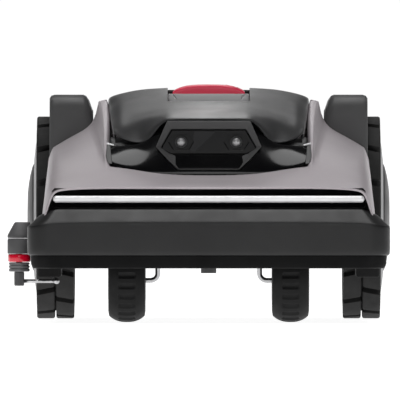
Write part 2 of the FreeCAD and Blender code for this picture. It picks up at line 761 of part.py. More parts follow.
def front_fascia():
    """Gloss band below the hood, lying on the slope of the shell."""
    fascia = new_body("front_fascia")
    rise = "(seat_front_z - fascia_low_z)"
    run = "(shell_front - brow_depth - caster_y)"
    slope = f"sqrt({rise}^2 + {run}^2)"
    off_y = f"({rise} / {slope})"
    off_z = f"({run} / {slope})"
    low = ("-shell_front + brow_depth", "fascia_low_z")
    high = ("-caster_y - 12", f"seat_front_z - 12 * {rise} / {run}")

    def lifted(point, distance):
        return f"{point[0]} - {off_y} * ({distance})", f"{point[1]} + {off_z} * ({distance})"

    profile = [lifted(low, "seat_gap"), lifted(high, "seat_gap"),
               lifted(high, "fascia_thick"), lifted(low, "fascia_thick")]
    pad(fascia, outline(fascia, "YZ", "-fascia_x + 4", profile), "2 * (fascia_x - 4)")
    for side in (-1, 1):
        corner = [(f"{side} * 58", "fascia_low_z - 10"), (f"{side} * 58", "fascia_low_z - 1"),
                  (f"{side} * 88", "fascia_low_z + 3"), (f"{side} * (fascia_x + 1)", "fascia_low_z + 15"),
                  (f"{side} * (fascia_x + 1)", "fascia_low_z - 10")]
        pocket(fascia, outline(fascia, "XZ", "-shell_front", corner), "120")
    pocket(fascia, pod_outline(fascia, "-pod_front - 10", "rest_gap"), "pod_front - pod_rear + 30")


def camera():
    """Stereo camera: housing, window, two lens barrels."""
    housing = new_body("camera_housing")
    pad(housing, pod_outline(housing, "-pod_front", "0"), "pod_front - pod_rear")
    cavity = [("window_x - 12 - 0.5", "window_low + 0.5"), ("window_x - 0.5", "pod_mid - 4"),
              ("window_x - 12 - 0.5", "window_top - 0.5")]
    pocket(housing, outline(housing, "XZ", "-pod_front - 1", mirrored(cavity)), "pod_front - pod_rear - 10")
    seat = [("window_x - 12 + 2", "window_low - 1"), ("window_x + 2", "pod_mid - 4"),
            ("window_x - 12 + 2", "window_top + 1")]
    pocket(housing, outline(housing, "XZ", "-pod_front - 1", mirrored(seat)), "7")
    # the lower face slopes back to the fascia
    shelf = [("-pod_front - 1", "pod_low - 1"), ("-pod_front - 1", "window_low - 2"),
             ("-pod_front + 1", "window_low - 2"), ("-pod_front + 8", "pod_low + 4"),
             ("-pod_front + 8", "pod_low - 1")]
    shelf.reverse()
    pocket(housing, outline(housing, "YZ", "-pod_x - 1", shelf), "2 * pod_x + 2")

    window = new_body("camera_window")
    glass = [("window_x - 12 + 1.6", "window_low - 0.6"), ("window_x + 1.6", "pod_mid - 4"),
             ("window_x - 12 + 1.6", "window_top + 0.6")]
    pad(window, outline(window, "XZ", "-pod_front + 6 - window_thick", mirrored(glass)), "window_thick")

    barrels = []
    for side in (-1, 1):
        centre = (f"{side} * lens_x", "lens_z")
        front = "-pod_front + 6.5"
        back = "-pod_rear - 11 - seat_gap"
        barrels.append(fuse(drum("y", centre, "lens_radius", front, "-pod_front + 20"),
                            drum("y", centre, "lens_radius + 3", "-pod_front + 14", back)))
    keep("camera_lenses", group(*barrels))


def lights():
    """Long light bar in its dark tray, on the front wall of the shell."""
    bar = new_body("light_bar")
    half = "bar_x - bar_radius"
    capsule = [(f"-({half})", "bar_z - bar_radius"), (half, "bar_z - bar_radius"),
               ("bar_x", "bar_z", "via"), (half, "bar_z + bar_radius"),
               (f"-({half})", "bar_z + bar_radius"), ("-bar_x", "bar_z", "via")]
    pad(bar, outline(bar, "XZ", "-nose_front + 1", capsule), "2 * bar_radius")
    edges_at = (value("-nose_front + 1"), value("-nose_front + 1 + 2 * bar_radius"))
    bevel(bar, "Chamfer", "1.6", lambda edge: any(along(edge, "y", at) for at in edges_at))

    tray = new_body("light_tray")
    pad(tray, rectangle(tray, "XZ", "-tray_front", "-bar_x - 1", "bar_x + 1", "tray_low",
                        "nose_bottom - 0.2"), "tray_front - shell_front - seat_gap")
    pocket(tray, rectangle(tray, "XZ", "-tray_front", "-bar_x + 1", "bar_x - 1", "bar_z - 5",
                           "bar_z + 5"), "8")


# ---------------------------------------------------------------- bumper

def bumper():
    """U-shaped bumper that slides back on two pins."""
    shield = new_body("front_bumper")
    outer_x = "bumper_x"
    corner_x = "bumper_x - bumper_corner"
    front = "-half_length"
    corner_y = "-half_length + bumper_corner"
    bend = f"{1 - math.sqrt(0.5):.6f} * bumper_corner"
    inner_x = "bumper_x - bumper_wall"
    inner_front = "-half_length + bumper_wall"
    points = [(f"-({corner_x})", front), (corner_x, front),
              (f"{outer_x} - {bend}", f"{front} + {bend}", "via"), (outer_x, corner_y),
              (outer_x, "-bumper_tail"), (inner_x, "-bumper_tail"),
              (inner_x, f"{inner_front} + 14"), (f"{inner_x} - 14", inner_front),
              (f"-({inner_x} - 14)", inner_front), (f"-({inner_x})", f"{inner_front} + 14"),
              (f"-({inner_x})", "-bumper_tail"), (f"-({outer_x})", "-bumper_tail"),
              (f"-({outer_x})", corner_y),
              (f"-({outer_x} - {bend})", f"{front} + {bend}", "via")]
    pad(shield, outline(shield, "XY", "bumper_low", points), "bumper_top - bumper_low")
    top = value("bumper_top")
    wall = value("bumper_wall")
    edge_x = value("bumper_x")
    edge_y = value("half_length")

    def outside(edge):
        if not along(edge, "z", top):
            return False
        middle = edge.CenterOfMass
        return abs(middle.x) > edge_x - wall + 0.5 or middle.y < -edge_y + wall - 0.5

    bevel(shield, "Chamfer", "bumper_chamfer",
          lambda edge: outside(edge) and edge.CenterOfMass.y < -value("bumper_tail") - 1)
    pins = [drum("y", (f"{side} * pin_x", "pin_z"), "pin_radius", "-half_length + bumper_wall", "-pin_tail")
            for side in (-1, 1)]
    keep("bumper_pins", group(*pins))


# ---------------------------------------------------------------- stop button, lid and keys

def stop_button():
    trim = new_body("stop_button_trim")
    pad(trim, rectangle(trim, "XY", "trim_low", "-trim_x", "trim_x", "-stop_front - 7", "stop_rear + 7"),
        "trim_top - trim_low")
    pocket(trim, rectangle(trim, "XY", "trim_low + 2.5", "-stop_x - 1.2", "stop_x + 1.2",
                           "-stop_front - 1.5", "stop_rear + 1.5"), "30")
    middle = "(stop_rear - stop_front) / 2"
    pocket(trim, circles(trim, "XY", "trim_low - 1", [("0", middle)], "stop_stem + running_gap"), "20")

    button = new_body("stop_button")
    cap = [("-stop_x", "stop_low"), ("stop_x", "stop_low"), ("stop_x", "stop_top - 5"),
           ("stop_x - 5", "stop_top - 1.6"), ("0", "stop_top", "via"), ("-stop_x + 5", "stop_top - 1.6"),
           ("-stop_x", "stop_top - 5")]
    pad(button, outline(button, "XZ", "-stop_front", cap), "stop_front + stop_rear")
    pad(button, circles(button, "XY", "stop_low", [("0", middle)], "stop_stem"), "stop_low - trim_low + 6",
        towards=-1)


def tilt_to_lid(thing):
    """Lay a sub-part that is drawn round the lid's centre on the sloping hood."""
    place(thing, 0, "lid_y", LID_Z)
    thing.Placement.Rotation = Rotation(Vector(-1, 0, 0), 1)
    thing.setExpression("Placement.Rotation.Angle", ex(LID_TILT))


def control_panel():
    """Lid over the keypad, and the panel, display and keys below it."""
    lid = new_body("control_lid")
    pad(lid, rectangle(lid, "XY", "-lid_thick", "-lid_half_width", "lid_half_width",
                       "-lid_half_depth", "lid_half_depth"), "lid_thick")
    front = -value("lid_half_depth")
    bevel(lid, "Fillet", "6", lambda edge: along(edge, "y", front) and abs(edge.CenterOfMass.z + 2) < 0.01)
    pin_spot = [("lid_half_depth - lid_pin_back", "-lid_pin_depth")]
    for side in (-1, 1):
        pad(lid, circles(lid, "YZ", f"{side} * lid_half_width", pin_spot, "lid_pin_radius"),
            "lid_pin_length", towards=side)
    tilt_to_lid(lid)

    panel = new_body("keypad_panel")
    pad(panel, rectangle(panel, "XY", "-panel_depth", "-lid_half_width - 6", "lid_half_width + 6",
                         "-lid_half_depth - 6", "lid_half_depth + 6"), "panel_depth - wall - 2")
    pocket(panel, rectangle(panel, "XY", "-panel_depth + panel_floor", "-lid_half_width - 3",
                            "lid_half_width + 3", "-lid_half_depth - 3", "lid_half_depth + 3"), "60")
    stems = [(f"{spot} * key_pitch", "-key_row") for spot in (-1, 0, 1)]
    pocket(panel, circles(panel, "XY", "-panel_depth - 1", stems, "key_stem + running_gap"), "20")
    tilt_to_lid(panel)

    display = new_body("display")
    low = "-panel_depth + panel_floor + seat_gap"
    pad(display, rectangle(display, "XY", low, "-display_half_width", "display_half_width",
                           "display_front", "display_rear"), "display_thick")
    tilt_to_lid(display)

    for spot, name in ((-1, "key_power"), (0, "key_home"), (1, "key_start")):
        key = new_body(name)
        base = "-panel_depth + panel_floor + key_travel + 1"
        centre = [(f"{spot} * key_pitch", "-key_row")]
        pad(key, circles(key, "XY", base, centre, "key_radius"), "key_height")
        pad(key, circles(key, "XY", base, centre, "key_stem"), "key_travel + 5", towards=-1)
        tilt_to_lid(key)


# ---------------------------------------------------------------- drive wheels

def drive_wheel(side, word):
    """Lugged tyre, rim with its stub axle and a domed hub, turned about the local Z axis."""
    turn = Rotation(Vector(0, 1, 0), 90 * side)
    start = f"{side} * wheel_inner"
    tyre = new_body(f"wheel_{word}_tyre")
    carcass = [("rim_radius + 0.2", "0"), ("wheel_radius - lug_height - 5", "0"),
               ("wheel_radius - lug_height", "6"), ("wheel_radius - lug_height", "wheel_width - 6"),
               ("wheel_radius - lug_height - 5", "wheel_width"), ("rim_radius + 0.2", "wheel_width")]
    revolve(tyre, outline(tyre, "XZ", "0", carcass))
    rows = (("2", "wheel_width / 2 - 1", 0), ("wheel_width / 2 + 1", "wheel_width - 2", 0.5))
    for low, high, stagger in rows:
        # a block: two straight sides and a crown on the tyre's own radius
        reach = "wheel_radius"
        half = "lug_share * pi * wheel_radius / lug_count"
        turn_in = math.radians(90 + stagger * 360 / value("lug_count"))
        sin, cos = f"{math.sin(turn_in):.6f}", f"{math.cos(turn_in):.6f}"

        def spot(radial, across):
            return (f"{cos} * ({radial}) - {sin} * ({across})", f"{sin} * ({radial}) + {cos} * ({across})")

        flank = f"sqrt({reach}^2 - ({half})^2)"
        root = "wheel_radius - lug_height - 2"
        block_outline = [spot(root, f"-({half})"), spot(flank, f"-({half})"),
                         spot(reach, "0") + ("via",), spot(flank, half), spot(root, half)]
        lug = pad(tyre, outline(tyre, "XY", low, block_outline), f"({high}) - ({low})")
        polar(tyre, lug, "lug_count")
    place(tyre, start, "axle_y", "wheel_radius", rotation=turn)

    rim = new_body(f"wheel_{word}_rim")
    disc = [("0", "8"), ("axle_radius + 10", "8"), ("axle_radius + 10", "18"), ("rim_radius - 6", "18"),
            ("rim_radius - 6", "1"), ("rim_radius", "1"), ("rim_radius", "wheel_width - 0.5"),
            ("dome_radius + 1", "wheel_width + 3.2"), ("dome_radius + 1", "wheel_width - 8"),
            ("0", "wheel_width - 8")]
    revolve(rim, outline(rim, "XZ", "0", disc))
    pad(rim, circles(rim, "XY", "8", [("0", "0")], "axle_radius"), "8 + wheel_inner - axle_inner",
        towards=-1)
    place(rim, start, "axle_y", "wheel_radius", rotation=turn)

    dome = new_body(f"wheel_{word}_hub")
    cap = [("0", "wheel_width - 7.8"), ("dome_radius", "wheel_width - 7.8"),
           ("dome_radius", "wheel_width + 2.6"),
           ("dome_radius * 0.68", "wheel_width + dome_reach * 0.82", "via"),
           ("22", "wheel_width + dome_reach"), ("0", "wheel_width + dome_reach")]
    revolve(dome, outline(dome, "XZ", "0", cap))
    place(dome, start, "axle_y", "wheel_radius", rotation=turn)


def drive_train():
    """Gear-motors inside the tub and the bearings that carry the stub axles."""
    centre = ("axle_y", "wheel_radius")
    bearings = []
    for side, word in ((-1, "left"), (1, "right")):
        spans = {
            "motor": ("motor_inner", "axle_inner - 1"),
            "gearbox": ("axle_inner - 24", "tub_waist - bearing_width - seat_gap"),
            "bore": ("axle_inner - 1", "tub_waist"),
            "ring": ("tub_waist - bearing_width", "tub_waist"),
        }
        ends = {}
        for key, (near, far) in spans.items():
            ends[key] = (near, far) if side > 0 else (f"-({far})", f"-({near})")
        motor = fuse(drum("x", centre, "motor_radius", *ends["motor"]),
                     drum("x", centre, "motor_radius - 2", *ends["gearbox"]))
        bore = drum("x", centre, "axle_radius + running_gap", *ends["bore"])
        keep(f"drive_motor_{word}", cut(motor, bore))
        bearings.append(cut(drum("x", centre, "bearing_radius", *ends["ring"]),
                            drum("x", centre, "axle_radius + running_gap", *ends["ring"])))
    keep("wheel_bearings", group(*bearings))


# ---------------------------------------------------------------- casters

def bent_rod(points, radius, bend):
    """A round rod along straight runs joined by tangent arcs of one radius."""
    edges = []
    start = points[0]
    for before, corner, after in zip(points, points[1:], points[2:]):
        back = (before - corner).normalize()
        ahead = (after - corner).normalize()
        half_turn = (math.pi - back.getAngle(ahead)) / 2
        cut_back = bend * math.tan(half_turn)
        first = corner + back * cut_back
        last = corner + ahead * cut_back
        inward = (back + ahead).normalize()
        middle = corner + inward * (bend / math.cos(half_turn) - bend)
        edges.append(Part.LineSegment(start, first).toShape())
        edges.append(Part.Arc(first, middle, last).toShape())
        start = last
    edges.append(Part.LineSegment(start, points[-1]).toShape())
    path = Part.Wire(edges)
    section = Part.Wire(Part.Circle(points[0], points[1] - points[0], radius).toShape())
    return path.makePipeShell([section], True, True)


def caster(side, word):
    """Bent-rod fork on a spindle, and the crowned wheel on its end."""
    reach = value("fork_reach")
    height = value("fork_height")
    axle_z = value("caster_radius")
    trail = value("caster_trail")
    inward = -side
    stub = value("axle_stub")
    points = [Vector(-inward * stub, trail, axle_z), Vector(inward * reach, trail, axle_z),
              Vector(inward * reach, 0, height), Vector(0, 0, height),
              Vector(0, 0, value("bay_height"))]
    rod = bent_rod(points, value("rod_radius"), value("rod_bend"))
    low = value("bay_height") - 2
    spindle = Part.makeCylinder(value("spindle_radius"), value("spindle_top") - low, Vector(0, 0, low))
    collar_z = value("spindle_top + rest_gap")
    collar = Part.makeCylinder(value("spindle_radius") + 3, 3, Vector(0, 0, collar_z))
    neck = Part.makeCylinder(value("spindle_radius"), 1, Vector(0, 0, collar_z - 0.6))
    fork = document.addObject("Part::Feature", f"caster_{word}_fork")
    fork.Shape = rod.fuse([spindle, neck, collar]).removeSplitter()
    keep(f"caster_{word}_fork", fork)
    fork.Placement = Placement(Vector(value(f"{side} * caster_x"), value(CASTER_Y), 0), Rotation())

    wheel = new_body(f"caster_{word}_wheel")
    half = "caster_width / 2"
    tread = [("rod_radius + running_gap", f"-({half})"), ("caster_radius - 24", f"-({half})"),
             ("caster_radius - 22", f"-({half} - 3)"), ("caster_radius - 14", f"-({half} - 3)"),
             ("caster_radius - caster_crown - 2", f"-({half})"),
             ("caster_radius", "0", "via"), ("caster_radius - caster_crown - 2", half),
             ("caster_radius - 14", f"{half} - 3"), ("caster_radius - 22", f"{half} - 3"),
             ("caster_radius - 24", half), ("rod_radius + running_gap", half)]
    revolve(wheel, outline(wheel, "XZ", "0", tread))
    place(wheel, f"{side} * caster_x", "-caster_y + caster_trail", "caster_radius",
          rotation=Rotation(Vector(0, 1, 0), 90))


def caster_bushes():
    rings = []
    for side in (-1, 1):
        centre = (f"{side} * caster_x", CASTER_Y)
        rings.append(cut(drum("z", centre, "bush_radius", "bay_height", "spindle_top"),
                         drum("z", centre, "spindle_radius + running_gap", "bay_height", "spindle_top")))
    keep("caster_bushes", group(*rings))


# ---------------------------------------------------------------- cutting deck

def cutting_deck():
    """Carriage on three guide rods, its motor, the disc and its pivoting blades."""
    centre = ("0", DECK_Y)
    rods = [drum("z", on_circle(angle, "guide_circle"), "guide_radius", "well_roof + wall", "bridge_z")
            for angle in GUIDE_ANGLES]
    keep("deck_guide_rods", group(*rods))

    plate = drum("z", centre, "plate_radius", "plate_z", "plate_z + plate_thick")
    holes = [drum("z", on_circle(angle, "guide_circle"), "guide_radius + running_gap",
                  "plate_z - 1", "plate_z + plate_thick + 1") for angle in GUIDE_ANGLES + (LIFT_ANGLE,)]
    keep("deck_carriage", cut(plate, *holes))

    motor_low = "plate_z - cut_motor_length"
    shaft = drum("z", centre, "shaft_radius", "disc_z + disc_thick", f"{motor_low} - seat_gap")
    keep("cutting_motor", drum("z", centre, "cut_motor_radius", motor_low, "plate_z"))

    disc = fuse(drum("z", centre, "disc_radius", "disc_z", "disc_z + disc_thick"),
                drum("z", centre, "disc_cap_radius", "disc_cap_low", "disc_z"), shaft)
    pivots = [drum("z", on_circle(angle, "blade_circle"), "screw_radius", "disc_z - 1",
                   "disc_z + disc_thick + 1") for angle in BLADE_ANGLES]
    keep("blade_disc", cut(disc, *pivots))

    screws = []
    top = "disc_z + disc_thick"
    for angle in BLADE_ANGLES:
        spot = on_circle(angle, "blade_circle")
        screws.append(fuse(drum("z", spot, "screw_radius", "disc_z - blade_thick - 1.4", top),
                           drum("z", spot, "screw_radius + 3", "disc_z - blade_thick - 3.4",
                                "disc_z - blade_thick - 1.4")))
    keep("blade_screws", group(*screws))

    for number, angle in enumerate(BLADE_ANGLES, start=1):
        blade = new_body(f"blade_{number}")
        low = "disc_z - blade_thick - 0.6"
        half = "blade_width / 2"
        tip = "blade_length - 8"
        profile = [("-8", f"-({half})"), (tip, f"-({half})"), (f"{tip} + 5", f"-({half} - 4)"),
                   (f"{tip} + 5", f"{half} - 4"), (tip, half), ("-8", half)]
        pad(blade, outline(blade, "XY", "0", profile), "blade_thick")
        pocket(blade, circles(blade, "XY", "-1", [("0", "0")], "screw_radius + running_gap"), "5")
        x, y = on_circle(angle, "blade_circle")
        place(blade, x, y, low, rotation=Rotation(Vector(0, 0, 1), angle))


def lift_drive():
    """Bridge over the guide rods, lift motor and lead screw."""
    centre = ("0", DECK_Y)
    spot = on_circle(LIFT_ANGLE, "guide_circle")
    top = "bridge_z + bridge_thick"
    bridge = cut(drum("z", centre, "guide_circle + 12", "bridge_z", top),
                 drum("z", centre, "guide_circle - 14", "bridge_z - 1", f"{top} + 1"),
                 drum("z", spot, "guide_radius + running_gap", "bridge_z - 1", f"{top} + 1"))
    keep("lift_bridge", bridge)
    keep("lift_motor", drum("z", spot, "lift_motor_radius", f"{top} + 2", f"{top} + 2 + lift_motor_length"))
    keep("lift_screw", fuse(drum("z", spot, "guide_radius", "well_roof + wall + seat_gap", f"{top} + 1.6"),
                            drum("z", spot, "guide_radius + 3", "well_roof + wall + seat_gap",
                                 "well_roof + wall + 3")))


# ---------------------------------------------------------------- electronics

def electronics():
    lowest = "floor_height + wall"
    battery_top = f"{lowest} + battery_height"
    keep("battery_pack", block(("-battery_half_width", "battery_half_width"),
                               ("axle_y + battery_room", "tub_rear - wall - 4"), (lowest, battery_top)))
    keep("main_board", block(("-board_half_width", "board_half_width"),
                             ("-tub_front + 22", "-bay_rear - 30"),
                             ("bay_height + wall + board_rise",
                              "bay_height + wall + board_rise + board_thick")))
    post = ("0", "tub_rear - 55")
    puck_low = "floor_height + puck_rise"
    keep("antenna_puck", fuse(drum("z", post, "puck_radius", puck_low, f"{puck_low} + puck_height"),
                              drum("z", post, "puck_post", f"{battery_top} + seat_gap", puck_low)))


def rear_panel():
    """Rear cover with the two charging contacts let into it."""
    cover = new_body("rear_cover")
    pad(cover, rectangle(cover, "XZ", "tub_rear + seat_gap", "-tub_waist", "tub_waist",
                         "floor_height + 4", "tub_top"), "half_length - tub_rear - seat_gap")
    back = value("half_length")
    bevel(cover, "Chamfer", "8", lambda edge: along(edge, "y", back))
    contacts = []
    for sign in (-1, 1):
        near, far = f"{sign} * contact_inner", f"{sign} * (contact_inner + contact_width)"
        pocket(cover, rectangle(cover, "XZ", "half_length - contact_depth", near, far, "contact_low",
                                "contact_low + contact_height"), "5")
        across = sorted((f"{near} + {sign} * seat_gap", f"{far} - {sign} * seat_gap"), key=value)
        contacts.append(block(across, ("half_length - contact_depth + seat_gap", "half_length - 0.2"),
                              ("contact_low + seat_gap", "contact_low + contact_height - seat_gap")))
    keep("charging_contacts", group(*contacts))


# ---------------------------------------------------------------- edge trimmer

def trimmer():
    """Side-mounted edge trimmer with a spinning steel rod."""
    x, y = "-trimmer_x", "-trimmer_y"
    centre = (x, y)
    keep("trimmer_arm", block(("-trimmer_x + trimmer_radius + seat_gap", "-skirt_outer - seat_gap"),
                              (f"{y} - 12", f"{y} + 12"), ("trimmer_arm_low", "trimmer_arm_top")))
    case = new_body("trimmer_housing")
    sleeve = [("trimmer_radius - 2", "trimmer_low"), ("trimmer_radius", "trimmer_low"),
              ("trimmer_radius", "trimmer_seam"), ("trimmer_radius - 2", "trimmer_seam")]
    revolve(case, outline(case, "XZ", "0", sleeve))
    place(case, x, y, 0)
    cap = new_body("trimmer_cap")
    crown = [("0", "trimmer_seam + 0.4"), ("trimmer_radius", "trimmer_seam + 0.4"),
             ("trimmer_radius", "trimmer_top - 16"), ("trimmer_radius - 9", "trimmer_top"),
             ("0", "trimmer_top")]
    revolve(cap, outline(cap, "XZ", "0", crown))
    place(cap, x, y, 0)
    keep("trimmer_motor", drum("z", centre, "trimmer_radius - 2.4", "trimmer_low + 1",
                               "trimmer_seam - 0.6"))
    ring = new_body("trimmer_ring")
    band = [("post_radius + 1", "ring_low"), ("trimmer_radius - 0.6", "ring_low"),
            ("trimmer_radius - 0.6", "trimmer_low"), ("post_radius + 1", "trimmer_low")]
    revolve(ring, outline(ring, "XZ", "0", band))
    place(ring, x, y, 0)
    spool_top = "ring_low - seat_gap"
    head = fuse(drum("z", centre, "trimmer_radius - 1.6", "spool_low", spool_top),
                drum("z", centre, "post_radius", "post_low", "spool_low"),
                drum("z", centre, "post_radius - 2", "spool_low", "trimmer_low + 0.6"),
                drum("x", (y, "line_z"), "line_radius", x, f"{x} + line_reach"))
    keep("trimmer_spool", head)
    tip = document.addObject("Part::Sphere", "Tip")
    tip.setExpression("Radius", ex("ball_radius"))
    place(tip, f"{x} + line_reach + ball_radius - 0.6", y, "line_z")
    keep("trimmer_tip", cut(tip, drum("x", (y, "line_z"), "line_radius", x, f"{x} + line_reach")))


# ---------------------------------------------------------------- build, check and write

def build():
    chassis_tub()
    side_skirts()
    upper_shell()
    hood_cover()
    fenders()
    front_fascia()
    camera()
    lights()
    bumper()
    stop_button()
    control_panel()
    for side, word in ((-1, "left"), (1, "right")):
        drive_wheel(side, word)
        caster(side, word)
    drive_train()
    caster_bushes()
    cutting_deck()
    lift_drive()
    electronics()
    rear_panel()
    trimmer()
    document.recompute()


def check():
    for thing in document.Objects:
        if "Invalid" in thing.State or "Error" in thing.State:
            raise RuntimeError(f"{thing.Label} failed: {thing.State}")
    for name, thing in pieces.items():
        if thing.Shape.isNull() or not thing.Shape.isValid() or not thing.Shape.Solids:
            raise RuntimeError(f"{name} has no valid shape")


def write():
    os.makedirs("parts", exist_ok=True)
    for name, thing in pieces.items():
        thing.Shape.exportStep(f"parts/{name}.step")


build()
check()
write()
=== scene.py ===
from math import asin, atan2, cos, hypot, pi, radians, sin, tan

import bmesh
import bpy
import numpy as np
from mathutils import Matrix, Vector


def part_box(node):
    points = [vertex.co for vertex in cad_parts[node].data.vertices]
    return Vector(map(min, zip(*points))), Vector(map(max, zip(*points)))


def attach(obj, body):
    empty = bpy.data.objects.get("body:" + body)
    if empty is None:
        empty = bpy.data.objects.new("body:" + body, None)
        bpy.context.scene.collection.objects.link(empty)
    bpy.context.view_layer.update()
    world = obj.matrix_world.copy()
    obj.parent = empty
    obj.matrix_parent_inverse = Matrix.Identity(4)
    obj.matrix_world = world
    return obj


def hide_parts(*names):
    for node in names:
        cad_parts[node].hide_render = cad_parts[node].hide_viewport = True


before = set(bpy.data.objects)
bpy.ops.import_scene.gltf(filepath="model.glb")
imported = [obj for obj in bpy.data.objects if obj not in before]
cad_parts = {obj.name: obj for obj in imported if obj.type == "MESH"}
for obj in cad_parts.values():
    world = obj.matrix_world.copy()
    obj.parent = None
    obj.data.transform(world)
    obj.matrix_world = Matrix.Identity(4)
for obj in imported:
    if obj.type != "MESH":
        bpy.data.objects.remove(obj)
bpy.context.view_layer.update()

# Shapes are in millimetres in the part's frame; floor, lights and camera are in metres.
# The nose points to -Y, the ground is Z = 0, and the mid-plane is X = 0.
MM = 0.001
SIDES = ((-1, "left"), (1, "right"))
AXLE_Y, AXLE_Z = 175, 123.0


def box_mm(node):
    """A CAD node's lowest and highest corners in millimetres."""
    low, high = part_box(node)
    return [c / MM for c in low], [c / MM for c in high]


# ---------- materials

def map_range(tree, source, limits, easing="LINEAR"):
    """Carry a value from one range (first two limits) to another (last two)."""
    node = tree.nodes.new("ShaderNodeMapRange")
    node.interpolation_type = easing
    for socket, limit in zip(("From Min", "From Max", "To Min", "To Max"), limits):
        node.inputs[socket].default_value = limit
    tree.links.new(source, node.inputs["Value"])
    return node.outputs["Result"]


class Nodes:
    """Small helper round a material's node tree."""

    def __init__(self, name):
        self.material = bpy.data.materials.new(name)
        self.material.use_nodes = True
        self.tree = self.material.node_tree
        self.tree.nodes.clear()
        self.output = self.add("ShaderNodeOutputMaterial")
        self.shader = self.add("ShaderNodeBsdfPrincipled")
        self.link(self.shader.outputs["BSDF"], self.output.inputs["Surface"])
        self.place = self.add("ShaderNodeTexCoord").outputs["Object"]

    def add(self, kind, **settings):
        node = self.tree.nodes.new(kind)
        for key, setting in settings.items():
            setattr(node, key, setting)
        return node

    def link(self, source, target):
        self.tree.links.new(source, target)

    def noise(self, scale, detail=4, rough=0.55, stretch=None):
        node = self.add("ShaderNodeTexNoise")
        node.inputs["Scale"].default_value = scale
        node.inputs["Detail"].default_value = detail
        node.inputs["Roughness"].default_value = rough
        place = self.place
        if stretch:
            mapping = self.add("ShaderNodeMapping")
            mapping.inputs["Scale"].default_value = stretch
            self.link(self.place, mapping.inputs["Vector"])
            place = mapping.outputs["Vector"]
        self.link(place, node.inputs["Vector"])
        return node.outputs["Fac"]

    def ramp(self, factor, low, high, start=0, end=1):
        return map_range(self.tree, factor, (low, high, start, end))

    def mix(self, factor, first, second):
        node = self.add("ShaderNodeMix", data_type="RGBA")
        self.link(factor, node.inputs["Factor"])
        for socket, colour in ((node.inputs["A"], first), (node.inputs["B"], second)):
            if isinstance(colour, tuple):
                socket.default_value = (*colour, 1)
            else:
                self.link(colour, socket)
        return node.outputs["Result"]

    def bump(self, height, strength, distance):
        node = self.add("ShaderNodeBump")
        node.inputs["Strength"].default_value = strength
        node.inputs["Distance"].default_value = distance
        self.link(height, node.inputs["Height"])
        return node.outputs["Normal"]

    def edges(self):
        """1 along outward edges, 0 on flat faces."""
        return self.ramp(self.add("ShaderNodeNewGeometry").outputs["Pointiness"], 0.53, 0.62)


def shade(colour):
    """Greys are given as a level, or as a level and its blue; other colours in full."""
    values = colour if isinstance(colour, tuple) else (colour, colour)
    return values if len(values) == 3 else (values[0], values[0], values[1])


def surface(name, dark, light, rough, spread=0.06, metallic=0, coat=(0, 0.08), patch=18,
            grain=(1400, 0.25), grain_depth=0.00006, wear=None, flakes=None, specular=0.5,
            stretch=None, dust=0):
    """A moulded, painted or metal surface with tone, roughness, grain and edge wear.

    Pairs: coat (weight, roughness), grain (scale, strength), wear (colour, amount).
    Flakes are (scale, lowest value that glints, colour).
    """
    nodes = Nodes(name)
    dark, light = shade(dark), shade(light)
    tone = nodes.noise(patch, 5)
    colour = nodes.mix(nodes.ramp(tone, 0.35, 0.65), dark, light)
    fine = nodes.noise(grain[0], 3, 0.6, stretch)
    if flakes:
        sparkle = nodes.add("ShaderNodeTexVoronoi")
        sparkle.inputs["Scale"].default_value = flakes[0]
        nodes.link(nodes.place, sparkle.inputs["Vector"])
        glint = nodes.ramp(sparkle.outputs["Color"], flakes[1], 1)
        colour = nodes.mix(glint, colour, shade(flakes[2]))
    if dust:
        film = nodes.ramp(nodes.noise(9, 6), 0.5, 0.75, 0, dust)
        colour = nodes.mix(film, colour, tuple(min(1, c * 1.6 + 0.02) for c in light))
    if wear:
        rub = nodes.add("ShaderNodeMath", operation="MULTIPLY")
        nodes.link(nodes.edges(), rub.inputs[0])
        nodes.link(nodes.ramp(nodes.noise(60, 4), 0.35, 0.7, 0, wear[1]), rub.inputs[1])
        colour = nodes.mix(rub.outputs["Value"], colour, shade(wear[0]))
    polish = nodes.ramp(nodes.noise(patch * 3.1, 5), 0.3, 0.7, rough - spread, rough + spread)
    inputs = nodes.shader.inputs
    nodes.link(colour, inputs["Base Color"])
    nodes.link(polish, inputs["Roughness"])
    nodes.link(nodes.bump(fine, grain[1], grain_depth), inputs["Normal"])
    for socket, level in (("Metallic", metallic), ("Specular IOR Level", specular),
                          ("Coat Weight", coat[0]), ("Coat Roughness", coat[1])):
        inputs[socket].default_value = level
    return nodes.material


